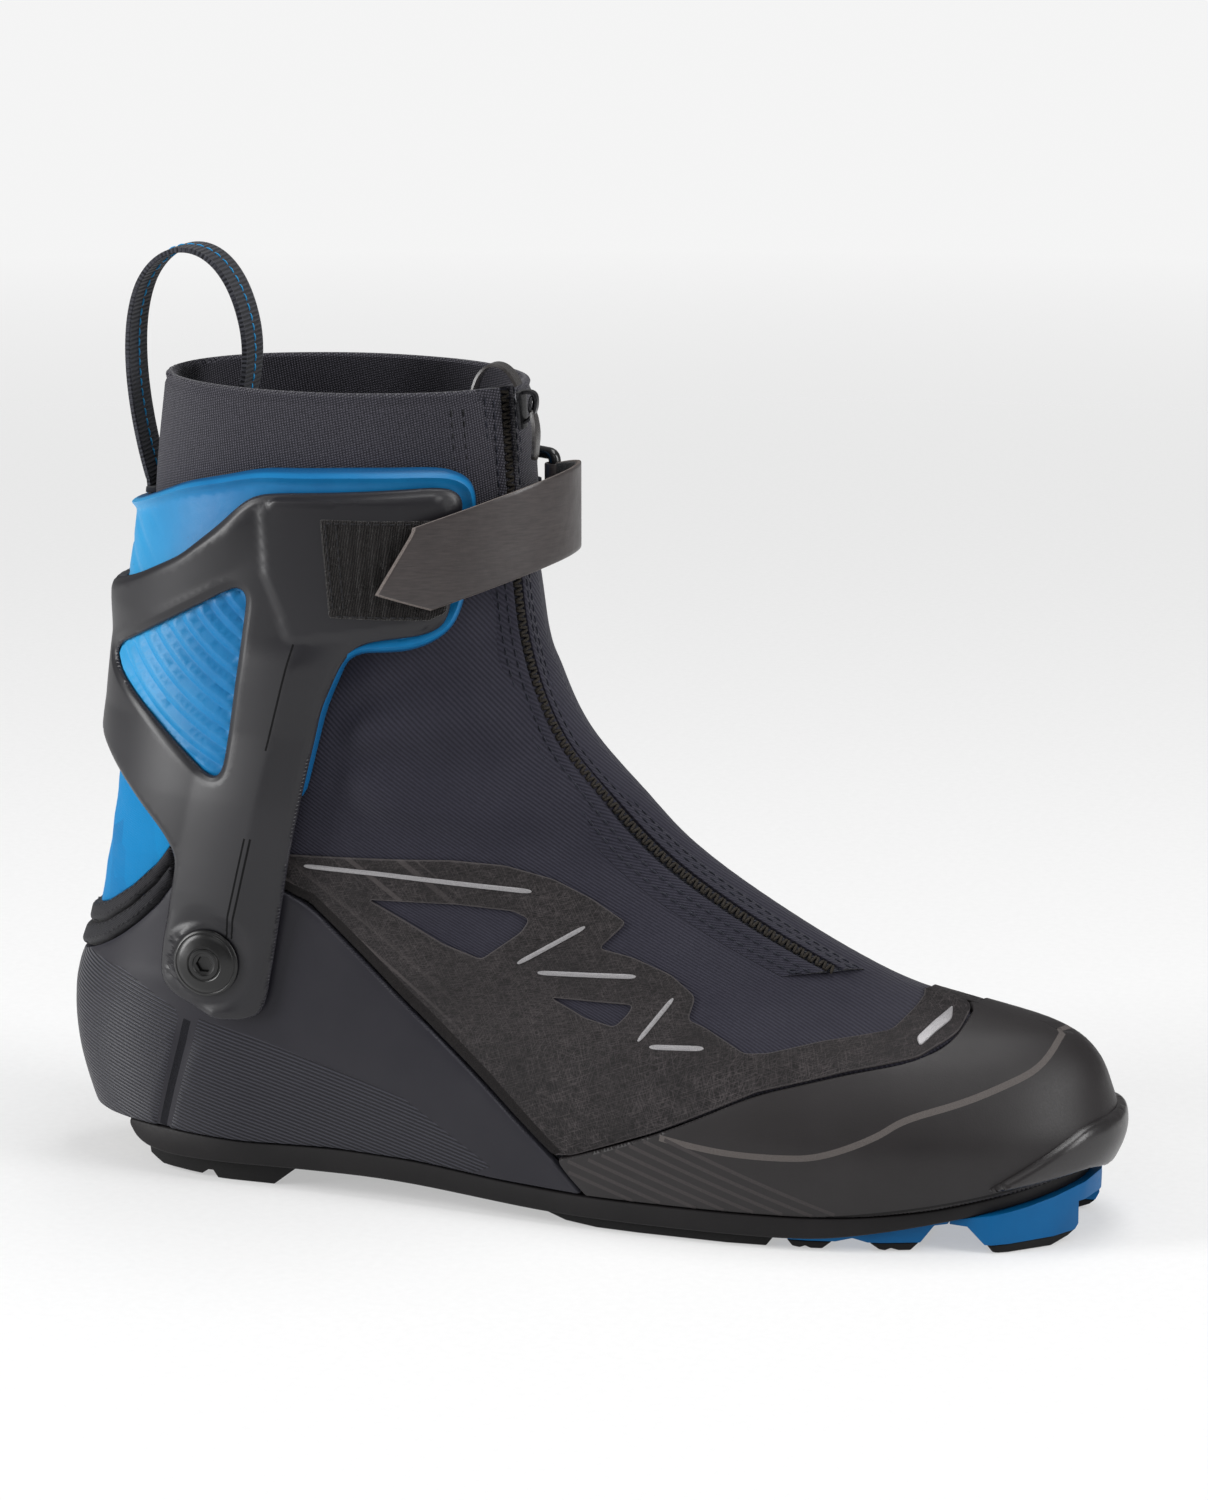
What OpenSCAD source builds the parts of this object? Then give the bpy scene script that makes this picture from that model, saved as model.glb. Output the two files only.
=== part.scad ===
// Right-foot skating boot for cross country skiing: a soft, zipped upper on a stiff sole,
// with a moulded heel shell and a hinged cuff that is closed by a strap.
// +X points to the toe, +Y to the inner (medial) side of the foot, +Z up. Millimetres.

/* [Overall] */
// Length from the back of the heel shell to the tip of the toe bumper
boot_length = 300; // [285:1:315]

/* [Fabrics and shells] */
// Thickness of the softshell upper
upper_t = 1.8; // [1.4:0.1:1.9]
// Thickness of the padded inner bootie
liner_t = 3.7; // [2.5:0.1:4.5]
// Thickness of the moulded heel shell and of the rubber toe rand
shell_t = 2.6; // [2.2:0.1:2.7]
// Thickness of the knitted collar
collar_t = 3.0; // [2:0.1:4]
// Thickness of the outer film overlays
overlay_t = 0.6; // [0.4:0.05:0.6]
// Width of the pull loop webbing
webbing_w = 14; // [10:1:16]
// Thickness of the pull loop webbing
webbing_t = 1.5; // [1:0.1:2]

/* [Cuff and its pivot] */
// Distance of the cuff pivot from the back of the heel
pivot_x = 52; // [50:0.5:54]
// Height of the cuff pivot above the ground
pivot_z = 66; // [65:0.5:67]
// Wall of the moulded cuff frame
frame_t = 2.4; // [1.8:0.1:2.4]
// Radius of the pivot post
post_r = 5; // [4:0.1:5.5]
// Radial clearance between the post and the frame's bore
post_clearance = 0.05; // [0.03:0.01:0.08]
// Radius of the rivet cap
cap_r = 9.3; // [8.5:0.1:9.8]

/* [Strap] */
// Height of the strap
strap_w = 24; // [20:1:25]
// Thickness of the strap
strap_t = 1.8; // [1.4:0.1:2]
// Slope of the strap, front up
strap_tilt = 19.4; // [17:0.2:21]

/* [Sole] */
// Thickness of the toe bar
bar_d = 3.5; // [3:0.1:4]
// Width of the slot that bares the toe bar
bar_slot_w = 26; // [20:1:30]

/* [Hidden] */

LATERAL = -1;
MEDIAL = 1;
size_factor = boot_length / 300;
middle_x = 149.7;
middle_y = -1.65;
gap = 0.2;
ring_n = 36;
liner_ring_n = 24;

// Heights at which the skin of the boot is sampled, closest over the flat top of the toe.
SKIN_Z = [7, 14, 22, 30, 37, 43, 48, 52, 55, 58, 61, 65, 70, 76, 83, 91, 99, 108, 118, 130,
          142, 150, 160, 170, 180, 191, 203, 214, 224];

// Sections of the skin: height, back, widest place of the heel, front, half width there,
// then how the sides swell to the ball of the foot and to the toe.
SECTIONS = [
  [0, 9, 60, 286, 31, 60, 68],
  [12, 5, 60, 290, 33.5, 68, 76],
  [27, 0.4, 60, 297, 35.5, 71, 80],
  [38, -1.2, 60, 295, 36.5, 67, 72],
  [48, -1, 60, 290.5, 37, 58, 56],
  [54, 0.2, 61, 282, 37, 52, 43],
  [58, 1.6, 61, 265, 37, 48, 40],
  [62, 3, 62, 247, 37, 46, 39],
  [68, 5.2, 62, 231, 37, 43, 38],
  [80, 7.6, 63, 208, 37.2, 38, 34],
  [95, 10.4, 66, 184, 38, 34, 32],
  [110, 12.6, 69, 166, 38.5, 34, 33],
  [128, 14.8, 72, 148.5, 38, 36, 35.5],
  [150, 19, 74, 138.5, 37.5, 37.5, 37.5],
  [175, 23.8, 76, 134.3, 37.5, 37.5, 37.5],
  [200, 26.8, 78, 132.6, 37, 37, 37],
  [226, 29, 80, 131, 36, 36, 36],
];

// Top of the sole under the foot, from the heel to the toe, which curls up a little.
SOLE_TOP = [[-10, 13.6], [30, 14], [60, 12.8], [85, 13.6], [110, 12.8], [134, 10.4], [160, 9],
            [222, 9], [238, 9.8], [255, 11.8], [276, 15.8], [310, 24]];

// Heights between the skin and the inside of the cuff frame: it stands off over the pad.
FRAME_GAP = [[60, 2.2], [68, 2.2], [85, 3], [112, 3.6], [131, 3.6], [145, 4.6], [160, 5.2]];
PAD_OUT = [for (p = FRAME_GAP) [p[0], p[1] - gap]];
FRAME_OUT = [for (p = FRAME_GAP) [p[0], p[1] + frame_t]];

boss_in = 38.6;
boss_out = 41.7;
boss_r = 10.2;
nut_r = 7.5;
stem_r = 2.5;

strap_mid = [114, 178.6];
ring_at = [129.5, 31.5];
ring_reach = 10.7;
ring_angle = 227;
zip_y = -12;
zip_lean = 3.5;

// ---- Skin of the boot -------------------------------------------------------------------

function section_slope(i) =
  let (last = len(SECTIONS) - 1, a = max(i - 1, 0), b = min(i + 1, last))
  (SECTIONS[b] - SECTIONS[a]) / (SECTIONS[b][0] - SECTIONS[a][0]);

function section_index(z, i = 0) =
  (i >= len(SECTIONS) - 2 || z < SECTIONS[i + 1][0]) ? i : section_index(z, i + 1);

function section_at(z) =
  let (i = section_index(z), p = SECTIONS[i], q = SECTIONS[i + 1],
       h = q[0] - p[0], t = (z - p[0]) / h, u = 1 - t)
  p * u * u * (1 + 2 * t) + section_slope(i) * h * t * u * u
  + q * t * t * (3 - 2 * t) - section_slope(i + 1) * h * t * t * u;

function clamp01(v) = min(max(v, 0), 1);

// Angle 0 is at the back of the heel, 90 on the outer side, 180 at the toe, 270 inside.
function skin_point(s, z, angle) =
  let (c = -cos(angle), side = sin(angle) >= 0 ? LATERAL : MEDIAL,
       low = side == MEDIAL ? clamp01((90 - z) / 50) : 0,
       w = s[4], ball = s[5] * (1 - 0.32 * low), toe = s[6] * (1 + 0.08 * low), r = 1 - c,
       reach = c < 0 ? s[2] - s[1] : s[3] - s[2],
       swell = c < 0 ? w : w * r * r * (r + 3 * c) + 3 * ball * c * c * r + toe * c * c * c)
  [s[2] + c * reach, side * abs(sin(angle)) * swell, z];

function skin(z, angle, off) =
  let (s = section_at(z), p = skin_point(s, z, angle),
       along = skin_point(s, z, angle + 1) - skin_point(s, z, angle - 1),
       rise = skin_point(section_at(z + 0.4), z + 0.4, angle)
            - skin_point(section_at(z - 0.4), z - 0.4, angle),
       n = cross(along, rise))
  p + n * off / norm(n);

function depth(d, z) = is_num(d) ? d : lookup(z, d);

function quad(a, b, c, d) = [[a, b, c], [a, c, d]];

// Closed wall round the whole boot, between two distances from the skin.
module wall(inner, outer, z_low, z_high, n = ring_n) {
  zs = [for (z = SKIN_Z) if (z >= z_low && z <= z_high) z];
  m = len(zs);
  points = [for (d = [outer, inner]) for (z = zs) for (k = [0:n - 1])
            skin(z, 360 * k / n, depth(d, z))];
  function at(i, k, layer) = (layer * m + i) * n + (k % n);
  faces = concat(
    [for (i = [0:m - 2]) for (k = [0:n - 1]) for (f = quad(at(i, k, 0), at(i + 1, k, 0),
      at(i + 1, k + 1, 0), at(i, k + 1, 0))) f],
    [for (i = [0:m - 2]) for (k = [0:n - 1]) for (f = quad(at(i, k, 1), at(i, k + 1, 1),
      at(i + 1, k + 1, 1), at(i + 1, k, 1))) f],
    [for (k = [0:n - 1]) for (f = quad(at(m - 1, k, 0), at(m - 1, k, 1),
      at(m - 1, k + 1, 1), at(m - 1, k + 1, 0))) f],
    [for (k = [0:n - 1]) for (f = quad(at(0, k, 0), at(0, k + 1, 0),
      at(0, k + 1, 1), at(0, k, 1))) f]);
  polyhedron(points, faces);
}

// ---- Helpers ----------------------------------------------------------------------------

module placed() {
  scale(size_factor) translate([-middle_x, -middle_y, 0]) children();
}

// A side view outline carried right through the boot, or through one side of it.
module side_cut(outline, y0 = -80, y1 = 80) {
  translate([0, y1, 0]) rotate([90, 0, 0]) linear_extrude(y1 - y0) polygon(outline);
}

// The children's shape as one piece.
module joined() {
  resize([0, 0, 0]) children();
}

// Wall cut to a side view outline, with holes cut out of it.
module panel(inner, outer, z_low, z_high, outline, holes = [], y0 = -80, y1 = 80, n = ring_n) {
  joined() difference() {
    intersection() {
      wall(inner, outer, z_low, z_high, n);
      side_cut(outline, y0, y1);
    }
    for (hole = holes) side_cut(hole);
    children();
  }
}

function raised(line, dz) = [for (p = line) [p[0], p[1] + dz]];
function reversed(line) = [for (i = [len(line) - 1:-1:0]) line[i]];
function sole_band(low, high) =
  concat(raised(SOLE_TOP, low), reversed(raised(SOLE_TOP, high)));
function above_sole(d) = concat(raised(SOLE_TOP, d), [[310, 300], [-10, 300]]);

// Plan outline of the boot at one height, moved in by a distance.
function plan(z, inset) =
  [for (k = [0:47]) let (s = section_at(z), a = 7.5 * k, p = skin_point(s, z, a),
    t = skin_point(s, z, a + 1) - skin_point(s, z, a - 1), l = norm([t[0], t[1]]))
   [p[0] - inset * t[1] / l, p[1] + inset * t[0] / l]];

// Solid under the boot: a plan outline cut by a side view outline.
module slab(z_plan, inset, outline) {
  intersection() {
    translate([0, 0, -20]) linear_extrude(80) polygon(plan(z_plan, inset));
    side_cut(outline);
  }
}

module cross_pin(x, z, r, y0, y1, fn = 48) {
  translate([x, y1, z]) rotate([90, 0, 0]) cylinder(r = r, h = y1 - y0, $fn = fn);
}

// Tube with the given number of sides through the points of a path.
module tube(path, r, sides = 8) {
  n = len(path);
  function ahead(i) = let (d = path[min(i + 1, n - 1)] - path[max(i - 1, 0)]) d / norm(d);
  points = [for (i = [0:n - 1]) let (t = ahead(i), a = cross(t, [0.1, 0.99, 0.05]),
    u = a / norm(a), v = cross(t, u)) for (k = [0:sides - 1])
    path[i] + r * (cos(360 * k / sides) * u + sin(360 * k / sides) * v)];
  faces = concat(
    [for (i = [0:n - 2]) for (k = [0:sides - 1]) for (f = quad(i * sides + k,
      (i + 1) * sides + k, (i + 1) * sides + (k + 1) % sides, i * sides + (k + 1) % sides)) f],
    [for (k = [1:sides - 2]) [0, k, k + 1]],
    [for (k = [1:sides - 2]) [(n - 1) * sides, (n - 1) * sides + k + 1, (n - 1) * sides + k]]);
  polyhedron(points, faces);
}

// Flat band of constant thickness along a plan path.
function bezier(a, b, c, d, steps) =
  [for (i = [0:steps]) let (t = i / steps, u = 1 - t)
   a * u * u * u + 3 * b * t * u * u + 3 * c * t * t * u + d * t * t * t];
function band_edge(path, off) =
  [for (i = [0:len(path) - 1])
   let (d = path[min(i + 1, len(path) - 1)] - path[max(i - 1, 0)], l = norm(d))
   path[i] + off * [d[1], -d[0]] / l];
function band(path, inner, outer) =
  concat(band_edge(path, outer), reversed(band_edge(path, inner)));

// ---- Sole -------------------------------------------------------------------------------

module heel_block() {
  outline = [[25, 13], [26.5, 3.5], [31, 1.2], [44, 0.6], [46, 2], [47.5, 2], [49, 0], [66, 0],
             [73, 5.5], [76, 6.2], [76, 13]];
  color("#1c1c1e") placed() difference() {
    slab(12, 5, outline);
    translate([-10, -60, 5.9]) cube([120, 120, 20]);
    for (y = [-11, 11]) translate([10, y - 4, -1]) cube([80, 8, 3.2]);
  }
}

module midsole() {
  top = [for (p = SOLE_TOP) if (p[0] > 20) p];
  bottom = [[20, 13.9], [25.6, 6], [75, 6.2], [103, 6.4], [150, 3], [222, 3], [236, 4.6],
            [257, 8.2], [279, 12.2], [310, 20.5]];
  color("#232022") placed() slab(14, 0.6, concat(top, reversed(bottom)));
}

module forefoot_tread() {
  color("#1a1a1c") placed() difference() {
    slab(12, 2.5, [[148, 2.9], [154, 0.9], [163, 0], [211, 0], [213, 2.9]]);
    for (x = [166:9:206]) translate([x, -24, -1]) cube([3, 48, 2.2]);
    for (y = [-11, 11]) translate([140, y - 4, -1]) cube([80, 8, 3.2]);
  }
}

module forefoot_plate() {
  outline = [[214, 2.9], [222, 2.9], [236, 4.5], [257, 8.1], [258.5, 8.3], [258.5, 7.2],
             [255, 6.8], [251.5, 2.1], [238, 2.1], [234, 3.2], [229.5, 2.1], [217, 2.1]];
  color("#1d87c2") placed() difference() {
    slab(12, 3, outline);
    for (y = [-11, 11]) translate([200, y - 4, -1]) cube([80, 8, 3.6]);
  }
}

module forefoot_lugs() {
  rear = [[216.5, 2], [218, 0.3], [220, 0], [221.5, 0.6], [223, 0], [226, 0], [228.5, 2]];
  front = [[238.5, 2], [241, 0.3], [242.5, 0], [244, 0.6], [246, 0], [249, 0], [251, 2]];
  color("#151516") placed() {
    for (outline = [rear, front]) for (span = [[-60, -15], [-7, 7], [15, 60]])
      intersection() {
        slab(12, 3.2, outline);
        translate([200, span[0], -1]) cube([80, span[1] - span[0], 4]);
      }
  }
}

module toe_block() {
  outline = [[259, 8.5], [279, 12.1], [292, 15.7], [296.2, 17.2], [297.4, 25], [299, 25],
             [294.5, 13], [289.2, 2.8], [268.6, 2.3], [263.8, 7], [259, 7.3]];
  color("#1d87c2") placed() difference() {
    intersection() {
      translate([0, 0, -5]) linear_extrude(60) polygon(plan(14, -2.5));
      side_cut(outline, -33, 33);
    }
    translate([272, -bar_slot_w / 2, -1]) cube([40, bar_slot_w, 11.5]);
    cross_pin(283, 6, bar_d / 2, -19, 19);
  }
}

module toe_rubber() {
  outline = [[268.8, 2.2], [270.5, 0.2], [272, 0], [284, 0], [287.6, 1.4], [289.1, 2.7]];
  color("#151516") placed() for (span = [[-32, -bar_slot_w / 2], [bar_slot_w / 2, 32]])
    intersection() {
      translate([0, 0, -5]) linear_extrude(20) polygon(plan(14, -2));
      side_cut(outline, span[0], span[1]);
    }
}

module toe_bar() {
  color("#b9bcc0") placed() cross_pin(283, 6, bar_d / 2, -19, 19);
}

module lasting_board() {
  color("#a9a193") placed() slab(11, 3.8, sole_band(gap, 1.5));
}

module insole() {
  color("#5b6168") placed() slab(13, 5.3 + liner_t, sole_band(1.7, 5.2));
}

// ---- Shells and fabrics of the boot -----------------------------------------------------

heel_edge = [[-10, 56], [1, 57.4], [15.8, 64.2], [25.8, 71.2], [34.5, 79], [40, 86.4], [46, 91],
             [62, 91], [79, 84], [107, 58], [131, 38], [151, 19], [168, 0]];
rand_edge = [[168.5, 0], [151.6, 19.2], [156, 20], [181, 29.5], [208, 42], [231, 47.6],
             [249, 50.6], [258.5, 55.5], [259.5, 75], [310, 75], [310, 0]];
flex_edge = [[41.5, 97], [85, 98], [119, 98], [140, 100], [150, 106], [210, 106]];

module heel_shell() {
  color("#2f313a") placed() panel(-2.2, shell_t - 2.2, 7, 91, heel_edge) {
    side_cut(sole_band(-60, gap));
    for (side = [LATERAL, MEDIAL])
      cross_pin(pivot_x, pivot_z, post_r + 0.35, side * 37 - 5, side * 37 + 5, 32);
    for (side = [LATERAL, MEDIAL])
      cross_pin(pivot_x, pivot_z, nut_r + 0.4, side * 31.1 - 3, side * 31.1 + 3, 24);
  }
}

module toe_rand() {
  color("#2b292b") placed() panel(-2.2, shell_t - 2.2, 7, 65, rand_edge)
    side_cut(sole_band(-60, gap));
}

module toe_bumper() {
  outline = [[274, 17.8], [292, 21], [294, 17.6], [303, 18], [303, 33.5], [293, 33.5],
             [287, 29]];
  color("#201e20") placed() panel(0.6, 2.7, 7, 43, outline);
}

module upper() {
  lower_edge = [[46, 91.4], [62, 91.4], [79.3, 84.4], [107.4, 58.3], [131.3, 38.3],
                [151.3, 19.8], [156, 20.5], [181, 30], [208, 42.5], [231, 48.1], [248.5, 51],
                [258, 56], [259, 75], [210, 90]];
  color("#2b2e3c") placed()
    panel(-2.6, upper_t - 2.6, 14, 108, concat(lower_edge, reversed(flex_edge)));
}

overlay_edge = [[72, 97], [119, 97], [133.6, 96], [146.5, 92.5], [164, 82], [160.3, 75.1],
                [177, 71], [188, 63], [186.3, 58.3], [203, 51.3], [209, 51.6], [223, 54.7],
                [240, 57], [244.5, 61.5], [245, 70], [256.5, 70], [256.3, 57], [248, 52],
                [231, 49], [208, 43.4], [181, 30.9], [157, 21.4], [151.5, 20.8], [131.8, 39],
                [107.8, 59], [80.8, 84.2], [72, 88.2]];
overlay_windows = [[[98, 85.5], [121, 85.2], [136.5, 84], [139, 81.5], [128, 72], [113, 76]],
                   [[148.6, 61.9], [170, 61.4], [168, 57.5], [158.4, 57.2]]];

module overlay(side) {
  color("#39373a") placed()
    panel(-0.65, overlay_t - 0.65, 14, 99, overlay_edge, overlay_windows,
          side == LATERAL ? -80 : gap, side == LATERAL ? -gap : 80);
}
module overlay_lateral() overlay(LATERAL);
module overlay_medial() overlay(MEDIAL);

function strip(a, b, w) =
  let (d = (b - a) / norm(b - a), n = [-d[1], d[0]] * w / 2) [a + n, b + n, b - n, a - n];

module reflective_trim() {
  strips = [strip([88, 93.6], [141, 89], 1.3), strip([138.7, 70.4], [156, 80.4], 1.3),
            strip([144.4, 68.3], [171, 68.2], 1.3), strip([173.8, 52.5], [181.6, 63.2], 1.3),
            strip([177.2, 51.4], [192, 51.8], 1.3)];
  color("#c9cbcd") placed() for (outline = strips) joined() intersection() {
    wall(gap / 4, 0.35, 14, 99);
    side_cut(outline, -80, -5);
  }
}

function band_line(lift) =
  [for (p = [[-8, 57.4], [2, 58.2], [15.8, 64.8], [25.8, 71.8], [34.5, 79.6], [40.4, 87]])
   [p[0], p[1] + lift]];

module heel_band(low, high) {
  color("#1b1c22") placed()
    panel(-2.2, 1.8, 52, 118, concat(band_line(low), reversed(band_line(high))));
}
module heel_band_lower() heel_band(0.2, 5.4);
module heel_band_upper() heel_band(5.7, 10.9);

module achilles_panel() {
  color("#19a3dc") placed() panel(-2.4, -0.5, 61, 142,
    concat(band_line(11.2), [[41.1, 104], [41.2, 140], [-8, 140]]));
}

module ankle_gaiter() {
  color("#2b2e3c") placed() panel(-2.6, upper_t - 2.6, 91, 150,
    concat([[41.5, 149.8], [41.5, 97.4], [85, 98.4], [119, 98.4], [140, 100.4], [149.8, 106.4]],
           [[210, 106.4], [210, 149.8]]));
}

module shin_panel() {
  color("#2b2e3c") placed() panel(-2.6, upper_t - 2.6, 142, 191,
    [[-10, 150], [210, 150], [210, 178.8], [-10, 178.8]]);
}

module knit_collar() {
  color("#3b3c45") placed() wall(-collar_t, 0, 180, 224);
}

// ---- Inside -----------------------------------------------------------------------------

module bootie_liner() {
  color("#33363b") placed() joined() difference() {
    wall(-3.1 - liner_t, -3.1, 7, 99, liner_ring_n);
    side_cut(sole_band(-60, 1.7));
    side_cut([[139, 120], [152, 88], [176, 72], [204, 63], [222, 63], [236, 80], [236, 120]],
      -13, 13);
    for (side = [LATERAL, MEDIAL])
      cross_pin(pivot_x, pivot_z, nut_r + 0.5, side * 35 - 3.4, side * 35 + 3.4, 24);
  }
}

module ankle_lining() {
  color("#33363b") placed() joined() difference() {
    wall(-3.1 - liner_t, -3.1, 91, 180, liner_ring_n);
    side_cut([[-20, 80], [210, 80], [210, 99.4], [-20, 99.4]]);
    side_cut([[120, 190], [139, 98], [200, 90], [200, 190]], -13, 13);
    side_cut([[-20, 177], [210, 177], [210, 200], [-20, 200]]);
  }
}

module tongue() {
  outline = [[226, 50], [205, 54], [170, 67], [146, 84], [132, 105], [118, 150], [114, 172],
             [130, 178], [150, 150], [240, 58]];
  color("#2a2c31") placed() panel(-7.5 - liner_t, -3.6 - liner_t, 43, 180, outline, [], -19, 19,
    liner_ring_n);
}

lace_z = [76, 81, 86.5, 92, 97.5];
lace_depth = -4.9;

module lace() {
  turns = [for (i = [0:len(lace_z) - 1]) for (a = (i % 2 == 0) ? [164, 172, 188, 196]
           : [196, 188, 172, 164]) skin(lace_z[i], a, lace_depth)];
  color("#8f9296") placed() tube(turns, 0.9, 8);
}

module lace_guides() {
  color("#17181b") placed() for (z = lace_z) for (side = [LATERAL, MEDIAL])
    translate(skin(z, 180 + side * 20.5, lace_depth)) rotate([-side * 24, 38, 0]) difference() {
      cube([4.4, 1.8, 2.8], center = true);
      cube([1.8, 5, 1.2], center = true);
    }
}

// ---- Zip --------------------------------------------------------------------------------

zip_outline = [[118, 224], [118, 168], [122, 150], [137, 124], [158, 101], [182, 83.4], [206, 74],
               [221, 67.4], [226, 70.5], [226, 120], [180, 224]];

module zip_strip(inner, outer, y0, y1) {
  joined() intersection() {
    wall(inner, outer, 65, 224, 60);
    side_cut(zip_outline, y0, y1);
  }
}

module zip_tape() {
  color("#1e2029") placed() zip_strip(gap, 0.8, zip_y - 7, zip_y + 7);
}

module zip_teeth() {
  color("#6d665c") placed() zip_strip(1, 2.1, zip_y - 1.8, zip_y + 1.8);
}

// The slider rides down the zip along the shin.
slider_z = 218;
slider_x = 131.2;
slide_lean = atan2(zip_lean, 56);
hub_x = 5.2;
hub_z = 3;

module on_zip() {
  translate([slider_x, zip_y, slider_z]) rotate([0, -slide_lean, 0]) children();
}

module zip_slider() {
  color("#2c2c2e") placed() on_zip() difference() {
    union() {
      translate([1.6, -4, -5]) cube([1.5, 8, 10]);
      translate([1.6, -1.1, 0.8]) cube([5, 2.2, 4]);
    }
    cross_pin(hub_x, hub_z, 0.85, -5, 5, 24);
  }
}

module zip_puller() {
  color("#1b1b1d") placed() on_zip() {
    cross_pin(hub_x, hub_z, 0.8, -2.6, 2.6, 24);
    for (y0 = [-2.6, 1.4]) {
      cross_pin(hub_x, hub_z, 1.5, y0, y0 + 1.2, 24);
      translate([hub_x - 0.7, y0, -3]) cube([1.4, 1.2, 5]);
    }
    translate([hub_x - 0.7, -2.6, -14]) cube([1.4, 5.2, 12]);
  }
}

// ---- Cuff -------------------------------------------------------------------------------

pad_edge = [[5, 183.5], [22, 186], [35, 192], [48, 198], [69, 203.4], [94, 204.4], [114, 204.4],
            [119, 203], [122, 199], [122.3, 190], [120, 167], [117, 159.5], [109, 155], [93, 154.4],
            [86.4, 139], [80, 113], [70, 109], [48, 109], [32, 116], [5, 134]];
frame_edge = [[5, 158.5], [14, 160.5], [34, 170], [48, 178], [59, 187.5], [66, 194.5], [70, 196.8],
              [76, 197.6], [113, 199.6], [117, 198.8], [119, 195.8], [116.4, 165], [114.6, 161.4],
              [110.5, 159.6], [98, 158], [93.6, 155.4], [90.6, 151], [85.6, 139], [76.4, 99],
              [68.4, 56], [66.5, 52], [62.6, 50], [54, 50], [41, 55.8], [38, 58.4], [37.2, 62],
              [38.2, 70], [43, 92], [42.4, 96], [39, 101], [24, 114.6], [5, 130]];
frame_window = [[60, 169.6], [64, 171.4], [66.4, 169.6], [66, 165], [58.6, 121], [56.6, 118],
                [53, 118.6], [24, 141.4], [21.8, 145], [24.4, 148.4]];

module cuff_pad() {
  color("#2f96cf") placed() panel(0.45, PAD_OUT, 108, 214, pad_edge);
}

module cuff_frame() {
  color("#3a3a3d") placed() difference() {
    union() {
      panel(FRAME_GAP, FRAME_OUT, 48, 203, frame_edge, [frame_window]);
      for (side = [LATERAL, MEDIAL])
        cross_pin(pivot_x, pivot_z, boss_r, min(side * boss_in, side * boss_out),
                  max(side * boss_in, side * boss_out));
    }
    for (side = [LATERAL, MEDIAL]) {
      cross_pin(pivot_x, pivot_z, post_r + post_clearance, side * 39 - 8, side * 39 + 8);
      cross_pin(pivot_x, pivot_z, 8.4, side * boss_in - (side == LATERAL ? 0 : 3),
                side * boss_in + (side == LATERAL ? 3 : 0));
    }
  }
}

// Cap, post and stem, drawn along +Z from the inside of the boot outwards.
module pivot_rivet(side) {
  profile = [[0, 32.2], [stem_r - 0.05, 32.2], [stem_r - 0.05, 34.15], [post_r, 34.15],
             [post_r, boss_out + gap], [cap_r, boss_out + gap], [cap_r, boss_out + 1],
             [cap_r - 1.4, boss_out + 2.3], [4.6, boss_out + 2.7], [4.2, boss_out + 2.2],
             [0, boss_out + 2.2]];
  color("#121214") placed() translate([pivot_x, 0, pivot_z]) rotate([side == LATERAL ? 90 : -90, 0, 0])
    difference() {
      rotate_extrude($fn = 64) polygon(profile);
      translate([0, 0, boss_out + 0.6]) cylinder(r = 2.3, h = 5, $fn = 6);
    }
}
module pivot_rivet_lateral() pivot_rivet(LATERAL);
module pivot_rivet_medial() pivot_rivet(MEDIAL);

module both_sides() {
  for (turn = [90, -90]) translate([pivot_x, 0, pivot_z]) rotate([turn, 0, 0]) children();
}

module pivot_washers() {
  color("#d7d7d2") placed() both_sides() difference() {
    translate([0, 0, 37.75]) cylinder(r = 7.6, h = 0.7, $fn = 48);
    translate([0, 0, 36]) cylinder(r = post_r + gap, h = 4, $fn = 48);
  }
}

module pivot_nuts() {
  color("#9a9da1") placed() both_sides() difference() {
    translate([0, 0, 32.3]) cylinder(r = nut_r, h = 1.6, $fn = 48);
    translate([0, 0, 31]) cylinder(r = stem_r, h = 4, $fn = 48);
  }
}

module loop_patch() {
  color("#171717") placed() panel([[160, 5.2 + frame_t + 0.1]], [[160, 5.2 + frame_t + 1.2]],
    160, 203, [[86.5, 191.5], [88.5, 165], [112, 164], [115.4, 166], [118, 191]], [], -80, 0);
}

ring_back = skin(180, ring_angle, ring_reach);

// Webbing that is sewn flat on the plate and turns round the back bar of the ring.
module ring_tab() {
  color("#1b1c1f") placed() difference() {
    union() {
      panel([[160, 5.2 + frame_t + 0.1]], [[160, 5.2 + frame_t + 1.3]], 160, 203,
        [[98, 191], [98, 177], [ring_back[0], 177], [ring_back[0], 191]], [], 0, 80);
      translate([ring_back[0], ring_back[1], 177]) cylinder(r = 2.9, h = 14, $fn = 36);
    }
    translate([ring_back[0], ring_back[1], 170]) cylinder(r = 1.85, h = 28, $fn = 36);
  }
}

// ---- Strap ------------------------------------------------------------------------------

strap_front = [144.6, -3];
strap_path = concat(bezier([101, -46.6], [128, -36.4], [144.6, -20], strap_front, 10),
                    [for (i = [1:8]) bezier(strap_front, [144.6, 11], [138.5, 22.5], ring_at, 8)[i]]);
strap_rise = tan(strap_tilt);
strap_end_z = strap_mid[1] - strap_w / 2 + (ring_at[0] - strap_mid[0]) * strap_rise;

// A plan outline carried up by a height, climbing towards the front as the strap does.
module climbing(outline, low, high) {
  multmatrix([[1, 0, 0, 0], [0, 1, 0, 0],
              [strap_rise, 0, 1, strap_mid[1] - strap_mid[0] * strap_rise + low], [0, 0, 0, 1]])
    linear_extrude(high - low) polygon(outline);
}

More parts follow.
